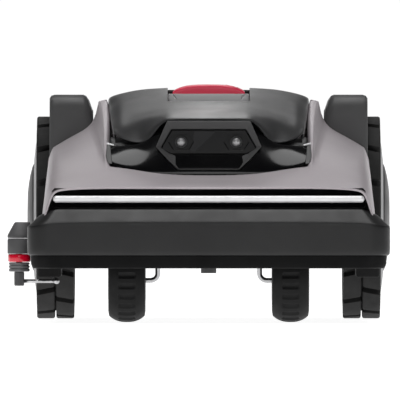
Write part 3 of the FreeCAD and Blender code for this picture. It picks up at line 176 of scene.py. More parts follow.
# Each look: its name, dark tone, light tone, roughness, spread, then what is special.
BLACK_WEAR = (0.16, 0.165)
MAT = {
    "shell": surface("shell_paint", (0.43, 0.392, 0.414), (0.47, 0.432, 0.45), 0.46, 0.03,
        metallic=0.35, coat=(0.12, 0.3), specular=0.35, patch=7, grain=(2600, 0.08),
        flakes=(5200, 0.86, (0.62, 0.60, 0.61)), wear=((0.5, 0.49, 0.49), 0.3)),
    "hood": surface("hood_satin", (0.034, 0.035), (0.042, 0.043), 0.34, 0.03, patch=8,
        grain=(1900, 0.16), wear=(0.15, 0.35), specular=0.22),
    "fender": surface("fender_grain", (0.052, 0.053), (0.064, 0.065), 0.5, 0.05,
        specular=0.5, patch=10, grain=(1500, 0.35), wear=(0.17, 0.45)),
    "gloss": surface("gloss_black", (0.003, 0.0035), (0.005, 0.0055), 0.13, 0.03,
        specular=0.25, coat=(0.12, 0.04), patch=14, grain=(700, 0.04), wear=(0.05, 0.2)),
    "satin": surface("satin_black", (0.016, 0.0165), (0.022, 0.0225), 0.38, 0.04,
        specular=0.35, patch=12, grain=(1600, 0.2), wear=(BLACK_WEAR, 0.35)),
    "bumper": surface("bumper_plastic", (0.010, 0.0103), (0.013, 0.0133), 0.42, 0.06,
        specular=0.4, patch=16, grain=(900, 0.5), grain_depth=0.00012,
        flakes=(900, 0.985, 0.07), wear=(BLACK_WEAR, 0.4), dust=0.1),
    # painted shade: a darker, duller copy of the black plastic for the turned-in lip, skirts, linings,
    # camera case and tub, which sit in shade
    "skirt": surface("painted_shade_black", (0.004, 0.0042), (0.006, 0.0062), 0.66, 0.06,
        specular=0.1, patch=14, grain=(1100, 0.4), wear=(BLACK_WEAR, 0.15), dust=0.08),
    "tyre": surface("tyre_rubber", 0.016, (0.024, 0.0237, 0.0235), 0.7, 0.08, patch=22,
        grain=(800, 0.5), grain_depth=0.00015, wear=((0.075, 0.073, 0.07), 0.4),
        dust=0.2, specular=0.2),
    "caster": surface("caster_rubber", (0.009, 0.0092), (0.014, 0.0142), 0.6, 0.07,
        patch=30, grain=(1000, 0.45), grain_depth=0.00012,
        wear=((0.09, 0.088, 0.085), 0.3), dust=0.15, specular=0.2),
    "rim": surface("rim_plastic", (0.23, 0.235), (0.28, 0.285), 0.42, 0.05, patch=15,
        grain=(1500, 0.2), wear=(0.45, 0.35)),
    "hub": surface("hub_plastic", (0.016, 0.0165), (0.023, 0.0235), 0.42, 0.05, patch=15,
        grain=(1500, 0.25), wear=(BLACK_WEAR, 0.35)),
    # painted reflection: lighter than the plate, for the patch over the left of the camera window
    "film": surface("window_painted_reflection", (0.010, 0.011), (0.014, 0.015), 0.2, 0.04,
        specular=0.3, patch=30, grain=(600, 0.03)),
    "lens_metal": surface("lens_cup", (0.34, 0.345), (0.42, 0.425), 0.3, 0.05,
        metallic=0.5, patch=60, grain=(900, 0.1)),
    "chrome": surface("bar_chrome", (0.82, 0.83), (0.92, 0.925), 0.34, 0.03,
        metallic=0.4, patch=30, grain=(600, 0.03)),
    "red": surface("stop_red", (0.80, 0.016, 0.07), (0.86, 0.022, 0.085), 0.36, 0.04,
        coat=(0.2, 0.14), patch=14, grain=(1800, 0.12), wear=((0.75, 0.2, 0.22), 0.3)),
    "silver": surface("silver_paint", (0.82, 0.825), (0.88, 0.885), 0.36, 0.04, patch=20,
        grain=(2200, 0.12), flakes=(4200, 0.8, 0.75), wear=(0.3, 0.25)),
    "steel": surface("bright_steel", (0.50, 0.51), (0.60, 0.61), 0.24, 0.06, metallic=1,
        patch=40, grain=(900, 0.2), wear=(0.8, 0.5)),
    "blade": surface("blade_steel", (0.46, 0.465), (0.6, 0.605), 0.3, 0.08, metallic=1,
        patch=30, grain=(500, 0.35), stretch=(8, 0.6, 1), wear=(0.85, 0.7)),
    "cast": surface("cast_metal", (0.42, 0.425), (0.52, 0.525), 0.45, 0.08, metallic=0.9,
        patch=30, grain=(500, 0.5), grain_depth=0.0002, wear=(0.7, 0.5)),
    "inner": surface("inner_plastic", (0.075, 0.077), (0.1, 0.102), 0.55, 0.06, patch=20,
        grain=(1200, 0.3), wear=(0.25, 0.4)),
    "board": surface("board_mask", (0.008, 0.09, 0.03), (0.012, 0.13, 0.045), 0.3, 0.06,
        patch=80, grain=(300, 0.2), flakes=(260, 0.9, (0.7, 0.55, 0.2))),
    "bronze": surface("bush_bronze", (0.42, 0.27, 0.12), (0.52, 0.35, 0.17), 0.4, 0.08,
        metallic=1, patch=50, grain=(900, 0.4)),
    "contact": surface("contact_plate", (0.62, 0.46, 0.24), (0.72, 0.54, 0.30), 0.26, 0.06,
        metallic=1, patch=40, grain=(500, 0.2), stretch=(1, 1, 9),
        wear=((0.85, 0.75, 0.55), 0.5)),
    "key": surface("key_rubber", (0.2, 0.205), (0.25, 0.255), 0.6, 0.06, patch=40,
        grain=(1500, 0.3), wear=(0.38, 0.4)),
    "display": surface("display_window", (0.008, 0.012, 0.016), (0.012, 0.017, 0.022),
        0.1, 0.03, coat=(1, 0.03), patch=25, grain=(400, 0.02)),
    "ring": surface("trimmer_red", (0.74, 0.002, 0.025), (0.80, 0.006, 0.035), 0.24, 0.05,
        coat=(0.6, 0.08), patch=60, grain=(900, 0.1)),
    "spool": surface("spool_grey", (0.16, 0.165), (0.22, 0.225), 0.4, 0.07,
        metallic=0.35, patch=60, grain=(1100, 0.3), wear=(0.5, 0.5)),
}


# ---------- mesh tools

RIDES = []


def mesh_from(name, bm):
    mesh = bpy.data.meshes.new(name)
    bm.to_mesh(mesh)
    bm.free()
    return mesh


def add_object(name, data):
    piece = bpy.data.objects.new(name, data)
    bpy.context.scene.collection.objects.link(piece)
    return piece


def finish_mesh(name, bm, material, slot, replaces=(), body="chassis", smooth=True):
    """Turn a bmesh in millimetres into a piece that rides on a body."""
    bmesh.ops.scale(bm, vec=(MM, MM, MM), verts=bm.verts)
    bmesh.ops.recalc_face_normals(bm, faces=bm.faces)
    mesh = mesh_from(name, bm)
    piece = add_object(name, mesh)
    mesh.materials.append(MAT[material])
    for polygon in mesh.polygons:
        polygon.use_smooth = smooth
    RIDES.append((piece, body, slot, replaces))
    return piece


def settle():
    """Tell the frame where each piece belongs, once all modifiers are on."""
    for piece, body, slot, replaces in RIDES:
        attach(piece, body)
        if replaces:
            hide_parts(*replaces)


def bevel(piece, width, segments=3, angle=35):
    modifier = piece.modifiers.new("Bevel", "BEVEL")
    modifier.width = width * MM
    modifier.segments = segments
    modifier.limit_method = "ANGLE"
    modifier.angle_limit = radians(angle)
    modifier.harden_normals = True
    return piece


def subdivide(piece, levels):
    modifier = piece.modifiers.new("Subdivision", "SUBSURF")
    modifier.levels = levels
    modifier.render_levels = levels
    return piece


def thicken(piece, depth):
    modifier = piece.modifiers.new("Solidify", "SOLIDIFY")
    modifier.thickness = depth * MM
    modifier.offset = -1.0
    modifier.use_even_offset = True
    return piece


def apply_all(piece):
    """Bake the modifiers into the mesh."""
    graph = bpy.context.evaluated_depsgraph_get()
    mesh = bpy.data.meshes.new_from_object(piece.evaluated_get(graph))
    piece.modifiers.clear()
    old = piece.data
    piece.data = mesh
    bpy.data.meshes.remove(old)
    return piece


def carve(piece, *cutters):
    """Cut closed tool meshes out of a piece, then throw the tools away."""
    for tool in cutters:
        modifier = piece.modifiers.new("Carve", "BOOLEAN")
        modifier.object = tool
        modifier.operation = "DIFFERENCE"
        modifier.solver = "EXACT"
    apply_all(piece)
    for tool in cutters:
        mesh = tool.data
        bpy.data.objects.remove(tool)
        bpy.data.meshes.remove(mesh)
    return piece


def weld(bm, distance=0.01):
    bmesh.ops.remove_doubles(bm, verts=bm.verts, dist=distance)


def prism_points(bm, outline, axis, low, high):
    """A closed prism of a 2-D outline along one axis."""
    rings = []
    for at in (low, high):
        ring = []
        for first, second in outline:
            spot = [first, second]
            spot.insert("xyz".index(axis), at)
            ring.append(bm.verts.new(spot))
        rings.append(ring)
    bridge(bm, rings, cap=True)


def bridge(bm, rings, cap=False):
    """Faces between neighbouring rings of vertices."""
    count = len(rings[0])
    for first, second in zip(rings, rings[1:]):
        for index in range(count):
            after = (index + 1) % count
            bm.faces.new((first[index], first[after], second[after], second[index]))
    if cap:
        close_ends(bm, rings)


def close_ends(bm, rings):
    bm.faces.new(list(reversed(rings[0])))
    bm.faces.new(rings[-1])


def slab(name, outline, axis, low, high, material, slot, soft, replaces=(), body="chassis",
         segments=3):
    """A flat-sided prism with softened edges."""
    bm = bmesh.new()
    prism_points(bm, outline, axis, low, high)
    piece = finish_mesh(name, bm, material, slot, replaces, body, smooth=False)
    return bevel(piece, soft, segments)


def cutter(outline, axis, low, high):
    """A closed prism that only cuts."""
    bm = bmesh.new()
    prism_points(bm, outline, axis, low, high)
    bmesh.ops.recalc_face_normals(bm, faces=bm.faces)
    bmesh.ops.scale(bm, vec=(MM, MM, MM), verts=bm.verts)
    tool = add_object("cutter", mesh_from("cutter", bm))
    tool.hide_render = True
    return tool


def rectangle(low_x, high_x, low_y, high_y):
    return [(low_x, low_y), (high_x, low_y), (high_x, high_y), (low_x, high_y)]


def mirrored(half):
    """A half outline and its mirror image as one closed ring."""
    return list(half) + [(-x, z) for x, z in reversed(half)]


def circle(radius, steps):
    turns = [2 * pi * step / steps for step in range(steps)]
    return [(radius * cos(turn), radius * sin(turn)) for turn in turns]


def turned(bm, profile, centre, axis, steps, side=1):
    """Revolve (radius, height) points round an axis; heights run along `side` of that axis."""
    rings = []
    for radius, height in profile:
        ring = []
        for first, second in circle(radius, steps):
            spot = [first, second]
            spot.insert("xyz".index(axis), height * side)
            ring.append(bm.verts.new(Vector(spot) + Vector(centre)))
        rings.append(ring)
    bridge(bm, rings)
    return rings


def lathe(name, profile, centre, axis, steps, material, slot, replaces=(), body="chassis",
          side=1, smooth=True, loop=False):
    """A turned piece, closed by its own outline (loop) or by a face at each end."""
    bm = bmesh.new()
    rings = turned(bm, profile + profile[:1] if loop else profile, centre, axis, steps, side)
    if loop:
        weld(bm)
    else:
        close_ends(bm, rings)
    return finish_mesh(name, bm, material, slot, replaces, body, smooth)


def smooth_rows(rows, factor):
    """Insert rows between stations on a Catmull-Rom curve, column by column."""
    data = np.array(rows, dtype=float)
    result = []
    for index in range(len(data) - 1):
        before = data[max(index - 1, 0)]
        start, end = data[index], data[index + 1]
        after = data[min(index + 2, len(data) - 1)]
        for step in range(factor):
            t = step / factor
            bend = 2 * before - 5 * start + 4 * end - after
            twist = 3 * start - before - 3 * end + after
            result.append(0.5 * ((2 * start) + (end - before) * t + bend * t ** 2 + twist * t ** 3))
    result.append(data[-1])
    return np.array(result)


def grid(bm, rows, mirror=True):
    """A quad grid from rows of points; the mirror half shares the points on X = 0."""
    made = {}

    def vertex(x, y, z):
        key = (round(x, 4), round(y, 4), round(z, 4))
        if key not in made:
            made[key] = bm.verts.new((x, y, z))
        return made[key]

    for sign in ((1, -1) if mirror else (1,)):
        for upper, lower in zip(rows, rows[1:]):
            for column in range(len(upper) - 1):
                corners = [upper[column], upper[column + 1], lower[column + 1], lower[column]]
                face = []
                for x, y, z in corners:
                    v = vertex(sign * x, y, z)
                    if v not in face:
                        face.append(v)
                if len(face) > 2:
                    try:
                        bm.faces.new(face)
                    except ValueError:
                        pass


# ---------- shell

# Each station of the shell: its Y, then the outline from the hood seam outwards and down.
SHELL_SIDES = [
    (-306, [(119, 162.6), (120.5, 162.7), (122, 162.7), (124, 162.5), (152, 162.2), (180, 160.4),
            (187.2, 155.5), (192.4, 142), (197, 126)]),
    (-296, [(119, 167), (120.5, 167), (122, 166.95), (124, 166.9), (153, 166), (181, 163.2),
            (189, 157), (193.8, 143), (198, 125)]),
    (-278, [(119, 175.7), (120.6, 175.7), (122.6, 175.6), (124.6, 175.4), (154, 173.2), (182.5, 168),
            (190.6, 161), (195.4, 145), (199, 124)]),
    (-250, [(119.2, 187.6), (121, 188.4), (124, 188.4), (125.4, 187.4), (156, 184.4), (184, 177.4),
            (192, 169), (196.8, 147), (199.6, 123)]),
    (-205, [(119.5, 206), (121.3, 210.6), (125.6, 210.2), (127, 203.6), (158, 197.4), (185.6, 188),
            (192.8, 178), (197.2, 147), (199.8, 123)]),
    (-150, [(118.6, 224), (120.4, 229.4), (126, 229.8), (131.4, 216), (161, 208), (186.6, 197),
            (193.3, 186), (197.4, 147), (200, 123)]),
    (-80, [(118.8, 243), (120.2, 247.6), (128, 247.4), (136, 227.4), (163, 216.8), (187.4, 204),
           (193.8, 192), (197.6, 147), (200, 123)]),
    (-20, [(119.8, 256), (121.4, 260.6), (130.8, 259.4), (138.8, 233), (164, 221.4), (188, 207.6),
           (194, 195), (197.6, 147), (200, 123)]),
    (28, [(121.4, 262), (123.4, 267), (133, 264.8), (140, 235.4), (164.5, 223.2), (188.4, 208.8),
          (194, 196), (197.6, 147), (200, 123)]),
]
# The apron between the camera and the light bar, from the mid-plane to the seam.
APRON = [
    (-306, [(0, 162.2), (60, 162.4), (104, 162.6)]),
    (-296, [(0, 166.2), (60, 166.4), (104, 167)]),
    (-278, [(0, 170.8), (60, 171.6), (104, 175.4)]),
    (-250, [(0, 177), (60, 178.8), (104, 186.4)]),
]
TAIL_STATIONS = [
    (28, [(121.4, 262), (123.4, 267), (133, 264.8), (139.4, 236), (139.5, 152.5)]),
    (120, [(120.8, 255), (122.8, 259.6), (132, 257.6), (139, 230), (139.5, 152.5)]),
    (230, [(119.4, 240), (121.4, 244.4), (131, 242), (138.6, 218), (139.5, 152.5)]),
    (318, [(117.6, 224), (119.6, 228.4), (129.6, 226), (137.6, 206), (139.4, 152.5)]),
]
ROW_STEPS = 3
SEAM_DEPTH = 17
SHELL_WALL = 2.6


def stations_to_rows(stations):
    return smooth_rows([[(x, y, z) for x, z in points] for y, points in stations], ROW_STEPS)


def sunk(rows):
    """A second column below the seam, so that the gap beside the hood has a wall."""
    seam = rows[:, 0]
    return np.stack([seam - (0.4, 0, SEAM_DEPTH), seam - (0, 0, SEAM_DEPTH / 3), seam], axis=1)


def shell_creases(rows):
    """The creased columns of the shell, found by place: their number and sharpness."""
    columns = {}
    for row in rows:
        for column, weight in ((0, 1), (2, 1), (3, 0.95), (5, 0.6)):
            for sign in (1, -1):
                columns[tuple(np.round(row[column] * (sign, 1, 1), 2))] = (column, weight)
    return columns


def crease_shell(mesh, columns):
    """Sharpen the columns, fading towards the nose, and the front rim."""
    layer = mesh.attributes.new("crease_edge", "FLOAT", "EDGE")
    fade_start, fade_length, rim_y = -256, 40, -305.9
    for edge in mesh.edges:
        spots = [mesh.vertices[v].co / MM for v in edge.vertices]
        ends = [columns.get(tuple(np.round(np.array(spot[:]), 2))) for spot in spots]
        if ends[0] and ends[0] == ends[1]:
            fade = min(1, max(0, (spots[0].y - fade_start) / fade_length))
            layer.data[edge.index].value = ends[0][1] * fade
        if all(spot.y < rim_y for spot in spots):
            layer.data[edge.index].value = 0.9


def build_shell():
    """Metallic shell: front apron and the two flanks beside the hood."""
    side = stations_to_rows(SHELL_SIDES)
    front = (len(APRON) - 1) * ROW_STEPS + 1
    middle = np.concatenate([stations_to_rows(APRON), side[:front, :1]], axis=1)
    bm = bmesh.new()
    grid(bm, side)
    grid(bm, middle)
    grid(bm, sunk(side[front - 1:]))
    weld(bm)
    shell = finish_mesh("shell_front", bm, "shell", "shell", ("upper_shell",))
    crease_shell(shell.data, shell_creases(side))
    subdivide(thicken(shell, SHELL_WALL), 2)


def build_shell_tail():
    """The shell between the fenders, its rear walls and its end wall."""
    rows = stations_to_rows(TAIL_STATIONS)
    for sign, word in SIDES:
        bm = bmesh.new()
        grid(bm, rows * (sign, 1, 1), mirror=False)
        grid(bm, sunk(rows) * (sign, 1, 1), mirror=False)
        tail = finish_mesh(f"shell_tail_{word}", bm, "shell", "shell")
        bevel(thicken(tail, SHELL_WALL), 1.2)
    # rear wall of the wide part, behind the shoulders
    wall = [(139.6, 152.5), (197.2, 152.5), (193.6, 195.4), (188, 208.2), (164.3, 222.6), (140, 234.6)]
    for sign, word in SIDES:
        outline = [(sign * x, z) for x, z in wall]
        slab(f"shell_wall_{word}", outline, "y", 25.4, 28, "shell", "shell", 0.8)
    end = [(137.4, 152.5), (135.6, 205), (128, 224.5), (119, 226.4), (113, 226.8), (102, 230.6),
           (86, 234.2), (66, 236.8), (44, 238.4), (16, 239)]
    slab("shell_end_wall", mirrored(end), "y", 314.6, 317.6, "shell", "shell", 1)


def build_lining():
    """Dark walls in the darker plastic that close the view between the hood and the camera and paint the
    shade there.
    """
    front = [(112, 196), (112, 220), (100, 219), (84, 221), (70, 229), (60, 238), (50, 243)]
    nose = [(183, 139), (183, 154), (118, 160), (60, 158)]
    for name, outline, near in (("lining_front", front, -209), ("lining_nose", nose, -286)):
        slab(name, mirrored(outline), "y", near, near + 2, "skirt", "gloss_black", 0.5)


# ---------- hood

# Columns of the hood from the mid-plane outwards. Each runs from the front edge to the tail.
HOOD_COLUMNS = [
    [(0, -238, 243.1), (0, -232, 245.4), (0, -190, 252.4), (0, -140, 260.4),
     (0, -66, 277), (0, 28, 279), (0, 314, 241.5)],
    [(25, -238, 243.1), (25, -232, 245.4), (25, -190, 252.2), (25, -140, 260.2),
     (25, -66, 276.8), (25, 28, 278.9), (25, 314, 241.4)],
    [(47, -237, 242.7), (46, -231, 245.4), (44, -190, 251.6), (44, -140, 259.4),
     (45, -66, 276.4), (46, 28, 278.6), (44, 314, 241)],
    [(55.6, -233, 239.2), (52.6, -229, 245), (53, -190, 250.8), (53, -140, 258.4),
     (54, -66, 275.8), (55, 28, 278.3), (53, 314, 240.5)],
    [(64.6, -228, 227.8), (68.6, -222, 233.8), (66, -190, 247.6), (64, -140, 257),
     (63, -66, 275), (63, 28, 278), (61, 314, 239.9)],
    [(71.2, -226, 218.6), (76.6, -220, 222.8), (78, -190, 242.6), (76, -140, 254.6),
     (76, -66, 273.4), (76, 28, 277.4), (72, 314, 238.9)],
    [(80, -225, 214.9), (84, -221, 218.4), (88, -190, 238.4), (87, -140, 252.2),
     (87, -66, 271.6), (87, 28, 276.1), (82, 314, 237.4)],
    [(91, -222, 215.6), (93, -218, 219), (97, -190, 234.8), (97, -140, 249.4),
     (98, -66, 268.8), (99, 28, 274), (93, 314, 235.2)],
    [(104.4, -212, 219.6), (104.8, -207, 223.6), (106, -182, 235.4), (107, -140, 247.2),
     (110, -66, 264.8), (112, 28, 271.2), (106, 314, 231.8)],
    [(111.4, -199, 224.4), (112.2, -190, 229.2), (112.6, -168, 235.6), (114, -130, 244.4),
     (117.6, -66, 259.4), (120, 28, 268.6), (114.6, 314, 228.6)],
    [(114, -192, 227), (114.6, -180, 231.4), (115.6, -160, 235.4), (117.2, -122, 242.4),
     (119.4, -66, 255.4), (121.2, 28, 266), (115.8, 314, 226.2)],
]


def build_hood():
    """Satin hood: two lobes beside the camera, a brow over it, and the openings in its top."""
    rows = smooth_rows(np.array(HOOD_COLUMNS).transpose(1, 0, 2), 4)
    side = rows[:, -1:]
    rows = np.concatenate([rows, side - (0, 0, 5), side - (1.5, 0, 13)], axis=1)
    bm = bmesh.new()
    grid(bm, rows)
    hood = finish_mesh("hood_skin", bm, "hood", "hood", ("hood_cover",))
    subdivide(thicken(hood, 2.8), 2)
    apply_all(hood)
    above, half, tray_rear = 300, 49.3, 26.4
    stop_notch = cutter(rectangle(-half, half, -122, tray_rear), "z", 264.8, above)
    stop_opening = cutter(rectangle(-half, half, -60.4, tray_rear), "z", 240, above)
    low, high = box_mm("control_lid")
    around_lid = rectangle(low[0] - 1, high[0] + 1, low[1] - 0.9, high[1] + 0.9)
    carve(hood, stop_notch, stop_opening, cutter(around_lid, "z", 225, above))
    bevel(hood, 0.6, 2, 50)
    # ledge in front of the stop button
    ledge = [(-119, 261), (-60.6, 261), (-60.6, 264.6), (-117, 264.6)]
    slab("hood_ledge", ledge, "x", -49, 49, "satin", "hood", 0.5)


def build_cheeks():
    """The panel under each lobe of the hood."""
    cheek = [
        [(118.6, -196, 226), (108, -204, 217.5), (92, -214, 214), (76, -218, 214.5), (66, -219, 222)],
        [(118.4, -207, 215.4), (108, -212, 213.2), (92, -219, 211), (76, -222, 210.4), (66, -223, 212)],
        [(118.2, -212, 210.8), (108, -217, 209.6), (92, -224, 208), (76, -227, 206.6), (66, -228, 206)],
    ]
    for sign, word in SIDES:
        bm = bmesh.new()
        grid(bm, np.array(cheek, dtype=float) * (sign, 1, 1), mirror=False)
        panel = finish_mesh(f"hood_cheek_{word}", bm, "satin", "hood")
        subdivide(thicken(panel, 2), 2)


# ---------- fascia and camera

FASCIA_LOW = [(0, -258.6, 174.6), (30, -258.6, 174.7), (58, -258, 175.4), (88, -254.5, 179),
              (108, -249, 185.6), (118, -244, 189.4), (122.8, -238, 193.5)]
FASCIA_HIGH = [(0, -226, 241), (30, -226, 241), (58, -225, 234), (78, -226, 214.6), (100, -222, 213),
               (116.4, -216, 212.6), (122.6, -212, 213.2)]


def build_fascia():
    """Gloss band round the camera, bulging between its two edges."""
    rows = []
    for t in (0, 0.12, 0.5, 0.88, 1):
        row = []
        for low, high in zip(FASCIA_LOW, FASCIA_HIGH):
            point = Vector(low).lerp(Vector(high), t)
            point.y -= 3.0 * sin(pi * t) + (0 if 0 < t < 1 else -2)
            row.append(tuple(point))
        rows.append(row)
    bm = bmesh.new()
    grid(bm, rows)
    band = finish_mesh("fascia_band", bm, "gloss", "gloss_black", ("front_fascia",))
    subdivide(thicken(band, 2.2), 3)
    apply_all(band)
    opening = mirrored([(36.6, 181.6), (49.8, 193.8), (64, 210.6), (50.2, 242.4)])
    carve(band, cutter(opening, "y", -290, -190))
    band.data.set_sharp_from_angle(angle=radians(30))


def build_fascia_ends():
    """A bright chrome strip below the hood's lower corners, which paints the highlight on the band's top
    edge there, and an upright facet at the band's ends.
    """
    line = [(113.4, 211.4), (122.2, 213.6), (122.4, 215.4), (113.4, 213.2)]
    facet = [(117.6, 212.6), (121.8, 212.8), (122.9, 200), (121.6, 193.2), (119.4, 190.2), (115.2, 190)]
    foot_y, foot_z, slope = -246.4, 190, 1.18
    for sign, word in SIDES:
        outline = [(sign * x, z) for x, z in line]
        # painted highlight: the chrome strip stands for the glint on the band's corner
        slab(f"fascia_highlight_strip_{word}", outline, "y", -220, -216, "chrome", "light_chrome", 0.4)
        bm = bmesh.new()
        rings = []
        for depth in (0, 6):
            spots = [(sign * x, foot_y + (z - foot_z) * slope + depth, z) for x, z in facet]
            rings.append([bm.verts.new(spot) for spot in spots])
        bridge(bm, rings, cap=True)
        piece = finish_mesh(f"fascia_facet_{word}", bm, "satin", "gloss_black", smooth=False)
        bevel(piece, 0.7)


def eight_sided_frame(name, outer, inner, material, slot, replaces):
    """A frame between two eight-sided outlines: outer rim, sloping face, inner wall."""
    outer_y, inner_y, back = -246, -241, -224
    bm = bmesh.new()
    rings = []
    for outline, y in ((outer, back), (outer, outer_y), (inner, inner_y), (inner, back)):
        rings.append([bm.verts.new((x, y, z)) for x, z in outline])
    bridge(bm, rings)
    bridge(bm, [rings[-1], rings[0]])
    return finish_mesh(name, bm, material, slot, replaces, smooth=False)


LENS_X, LENS_Z, LENS_SEAT = 33, 216, -237.2


def build_camera():
    """Camera frame and its sloping lower shelf."""
    outer = mirrored([(36, 182.2), (49, 194.4), (63.2, 210.6), (49.6, 241.4)])
    inner = mirrored([(40, 200.2), (47, 202.6), (57, 209.4), (44.6, 231.2)])
    pod = eight_sided_frame("camera_frame", outer, inner, "fender", "gloss_black", ("camera_housing",))
    bevel(pod, 1.2, 3, 20)
    shelf = [(-36, 184.4), (36, 184.4), (47, 198.4), (44, 201.2), (-44, 201.2), (-47, 198.4)]
    shelf_y, shelf_z, slope, shelf_back = -246.3, 184.4, 0.34, -238
    bm = bmesh.new()
    front = [bm.verts.new((x, shelf_y + (z - shelf_z) * slope, z)) for x, z in shelf]
    back = [bm.verts.new((x, shelf_back, z)) for x, z in shelf]
    bridge(bm, [front, back], cap=True)
    bevel(finish_mesh("camera_shelf", bm, "gloss", "gloss_black", smooth=False), 0.8)


def build_camera_window():
    """Gloss plate with a hexagonal pit round each lens, a lighter patch on its left that paints a
    reflection, and a closed case.
    """
    window = mirrored([(44.4, 202.3), (56.4, 207.4), (55, 211), (44, 229.8)])
    bm = bmesh.new()
    prism_points(bm, window, "y", -241.6, -234.6)
    plate = finish_mesh("camera_plate", bm, "gloss", "camera_glass", ("camera_window",), smooth=False)
    hexagon = ((-15, 0), (-9, -9.5), (9, -9.5), (15, 0), (9, 9.5), (-9, 9.5))
    pits = []
    for sign, _ in SIDES:
        pit = [(sign * LENS_X + x, LENS_Z + z) for x, z in hexagon]
        pits.append(cutter(pit, "y", -243, LENS_SEAT))
    carve(plate, *pits)
    bevel(plate, 0.5, 2, 40)
    # painted reflection: a lighter patch over the left part of the plate
    film = [(-17.4, 203.6), (8.6, 228.6), (-17, 228.6), (-18.6, 222), (-17.6, 216), (-21, 209),
            (-23, 205.6)]
    bm = bmesh.new()
    prism_points(bm, film, "y", -242, -241.5)
    finish_mesh("camera_painted_reflection", bm, "film", "camera_glass", smooth=False)
    # the case takes the darker plastic that paints its shade
    case = mirrored([(35, 183), (48, 195), (62.4, 210.6), (48.6, 240.6)])
    slab("camera_case", case, "y", -235, -196.4, "skirt", "gloss_black", 1)


def build_lenses():
    """Two barrels with a shallow dome each; together they replace the CAD's one lens node."""
    replaced = ("camera_lenses",)
    dome = [(0.05, -4.4), (1.6, -4.2), (3.2, -3.6), (4.4, -2.8), (5.1, -1.8), (5.1, -1)]
    for sign, word in SIDES:
        centre = (sign * LENS_X, LENS_SEAT, LENS_Z)
        bm = bmesh.new()
        barrel = [(7.6, 0), (7.6, -2.2), (6.6, -3), (5.6, -3), (5.2, -1.6)]
        rings = turned(bm, barrel, centre, "y", 48)
        bm.faces.new(rings[0])
        bm.faces.new(list(reversed(rings[-1])))
        finish_mesh(f"lens_barrel_{word}", bm, "satin", "lens", replaced)
        replaced = ()
        lathe(f"lens_glass_{word}", dome, centre, "y", 48, "lens_metal", "lens")


# ---------- light bar and tray

def build_light_rod():
    """Polished bar with rounded ends."""
    radius, reach, rod_y, rod_z = 4.3, 185.8, -303.2, 148.25
    steps = [(-reach + 0.02, 0.05)]
    for turn in np.linspace(8, 90, 7):
        angle = radians(turn)
        steps.append((-reach + radius * (1 - cos(angle)), radius * sin(angle)))
    steps += [(x, radius) for x in np.linspace(-reach + 2 * radius, 0, 12)]
    steps += [(-x, r) for x, r in reversed(steps[:-1])]
    bm = bmesh.new()
    rings = [[bm.verts.new((x, rod_y + a, rod_z + b)) for a, b in circle(r, 28)] for x, r in steps]
    bridge(bm, rings, cap=True)
    finish_mesh("light_rod", bm, "chrome", "light_chrome", ("light_bar",))


def build_light_trough():
    """An open channel with sloping lips, pinched at both ends."""
    profile = [(-305.4, 161.3), (-301, 159.6), (-296, 155), (-294.6, 148.5), (-296, 142.6),
               (-301, 139.4), (-305.4, 137.7), (-300, 137.7), (-289, 138.4), (-287.2, 148),
               (-289, 160.4), (-300, 161.3)]
    middle_z, end_x, end_pinch = 148.6, 187, 0.72
    bm = bmesh.new()
    rings = []
    for x in (-end_x, -184, -150, 0, 150, 184, end_x):
        pinch = end_pinch if abs(x) == end_x else 1.0
        rings.append([bm.verts.new((x, y, middle_z + (z - middle_z) * pinch)) for y, z in profile])
    bridge(bm, rings, cap=True)
    trough = finish_mesh("light_trough", bm, "gloss", "gloss_black", ("light_tray",), smooth=False)
    bevel(trough, 0.7, 2, 30)


# ---------- bumper and skirts

def bumper_ring(inset, z):
    """Plan outline of the bumper's outside at one height, from the left tail round to the right."""
    reach, front, corner = 216.5 - inset, -320 + inset, 26.0
    points = [(-reach, -150.2), (-reach, -220), (-reach, front + corner)]
    for turn in np.linspace(0, 90, 9)[1:-1]:
        angle = radians(turn)
        points.append((-reach + corner * (1 - cos(angle)), front + corner * (1 - sin(angle))))
    points += [(-reach + corner, front), (-130, front), (-60, front), (0, front)]
    points += [(-x, y) for x, y in reversed(points[:-1])]
    return [(x, y, z) for x, y in points]


def build_bumper():
    """Bumper shell: flat face, broad chamfer on top, turned-in lower edge."""
    levels = [(13, 81.5), (3.4, 80.6), (1, 81.6), (0, 84.4), (0, 100), (0, 116), (0.6, 120.2),
              (2.2, 122.6), (10, 133.6), (11.6, 135.6), (13.8, 136.9), (22, 137.1)]
    # the chamfer grows deeper at the corners, where it runs out over the side arms
    chamfer_z, fall_to_z, fall_share, corner_x, corner_width = 118, 112, 0.62, 184, 32.5
    shaped = []
    for inset, level in levels:
        points = []
        for x, y, z in bumper_ring(inset, level):
            drop = max(0, min(1, (abs(x) - corner_x) / corner_width))
            if level > chamfer_z:
                z -= drop * (z - fall_to_z) * fall_share
            points.append((x, y, z))
        shaped.append(points)
    bm = bmesh.new()
    grid(bm, shaped, mirror=False)
    shield = finish_mesh("bumper_shell", bm, "bumper", "black_plastic", ("front_bumper",), "bumper")
    subdivide(thicken(shield, 2.6), 2)


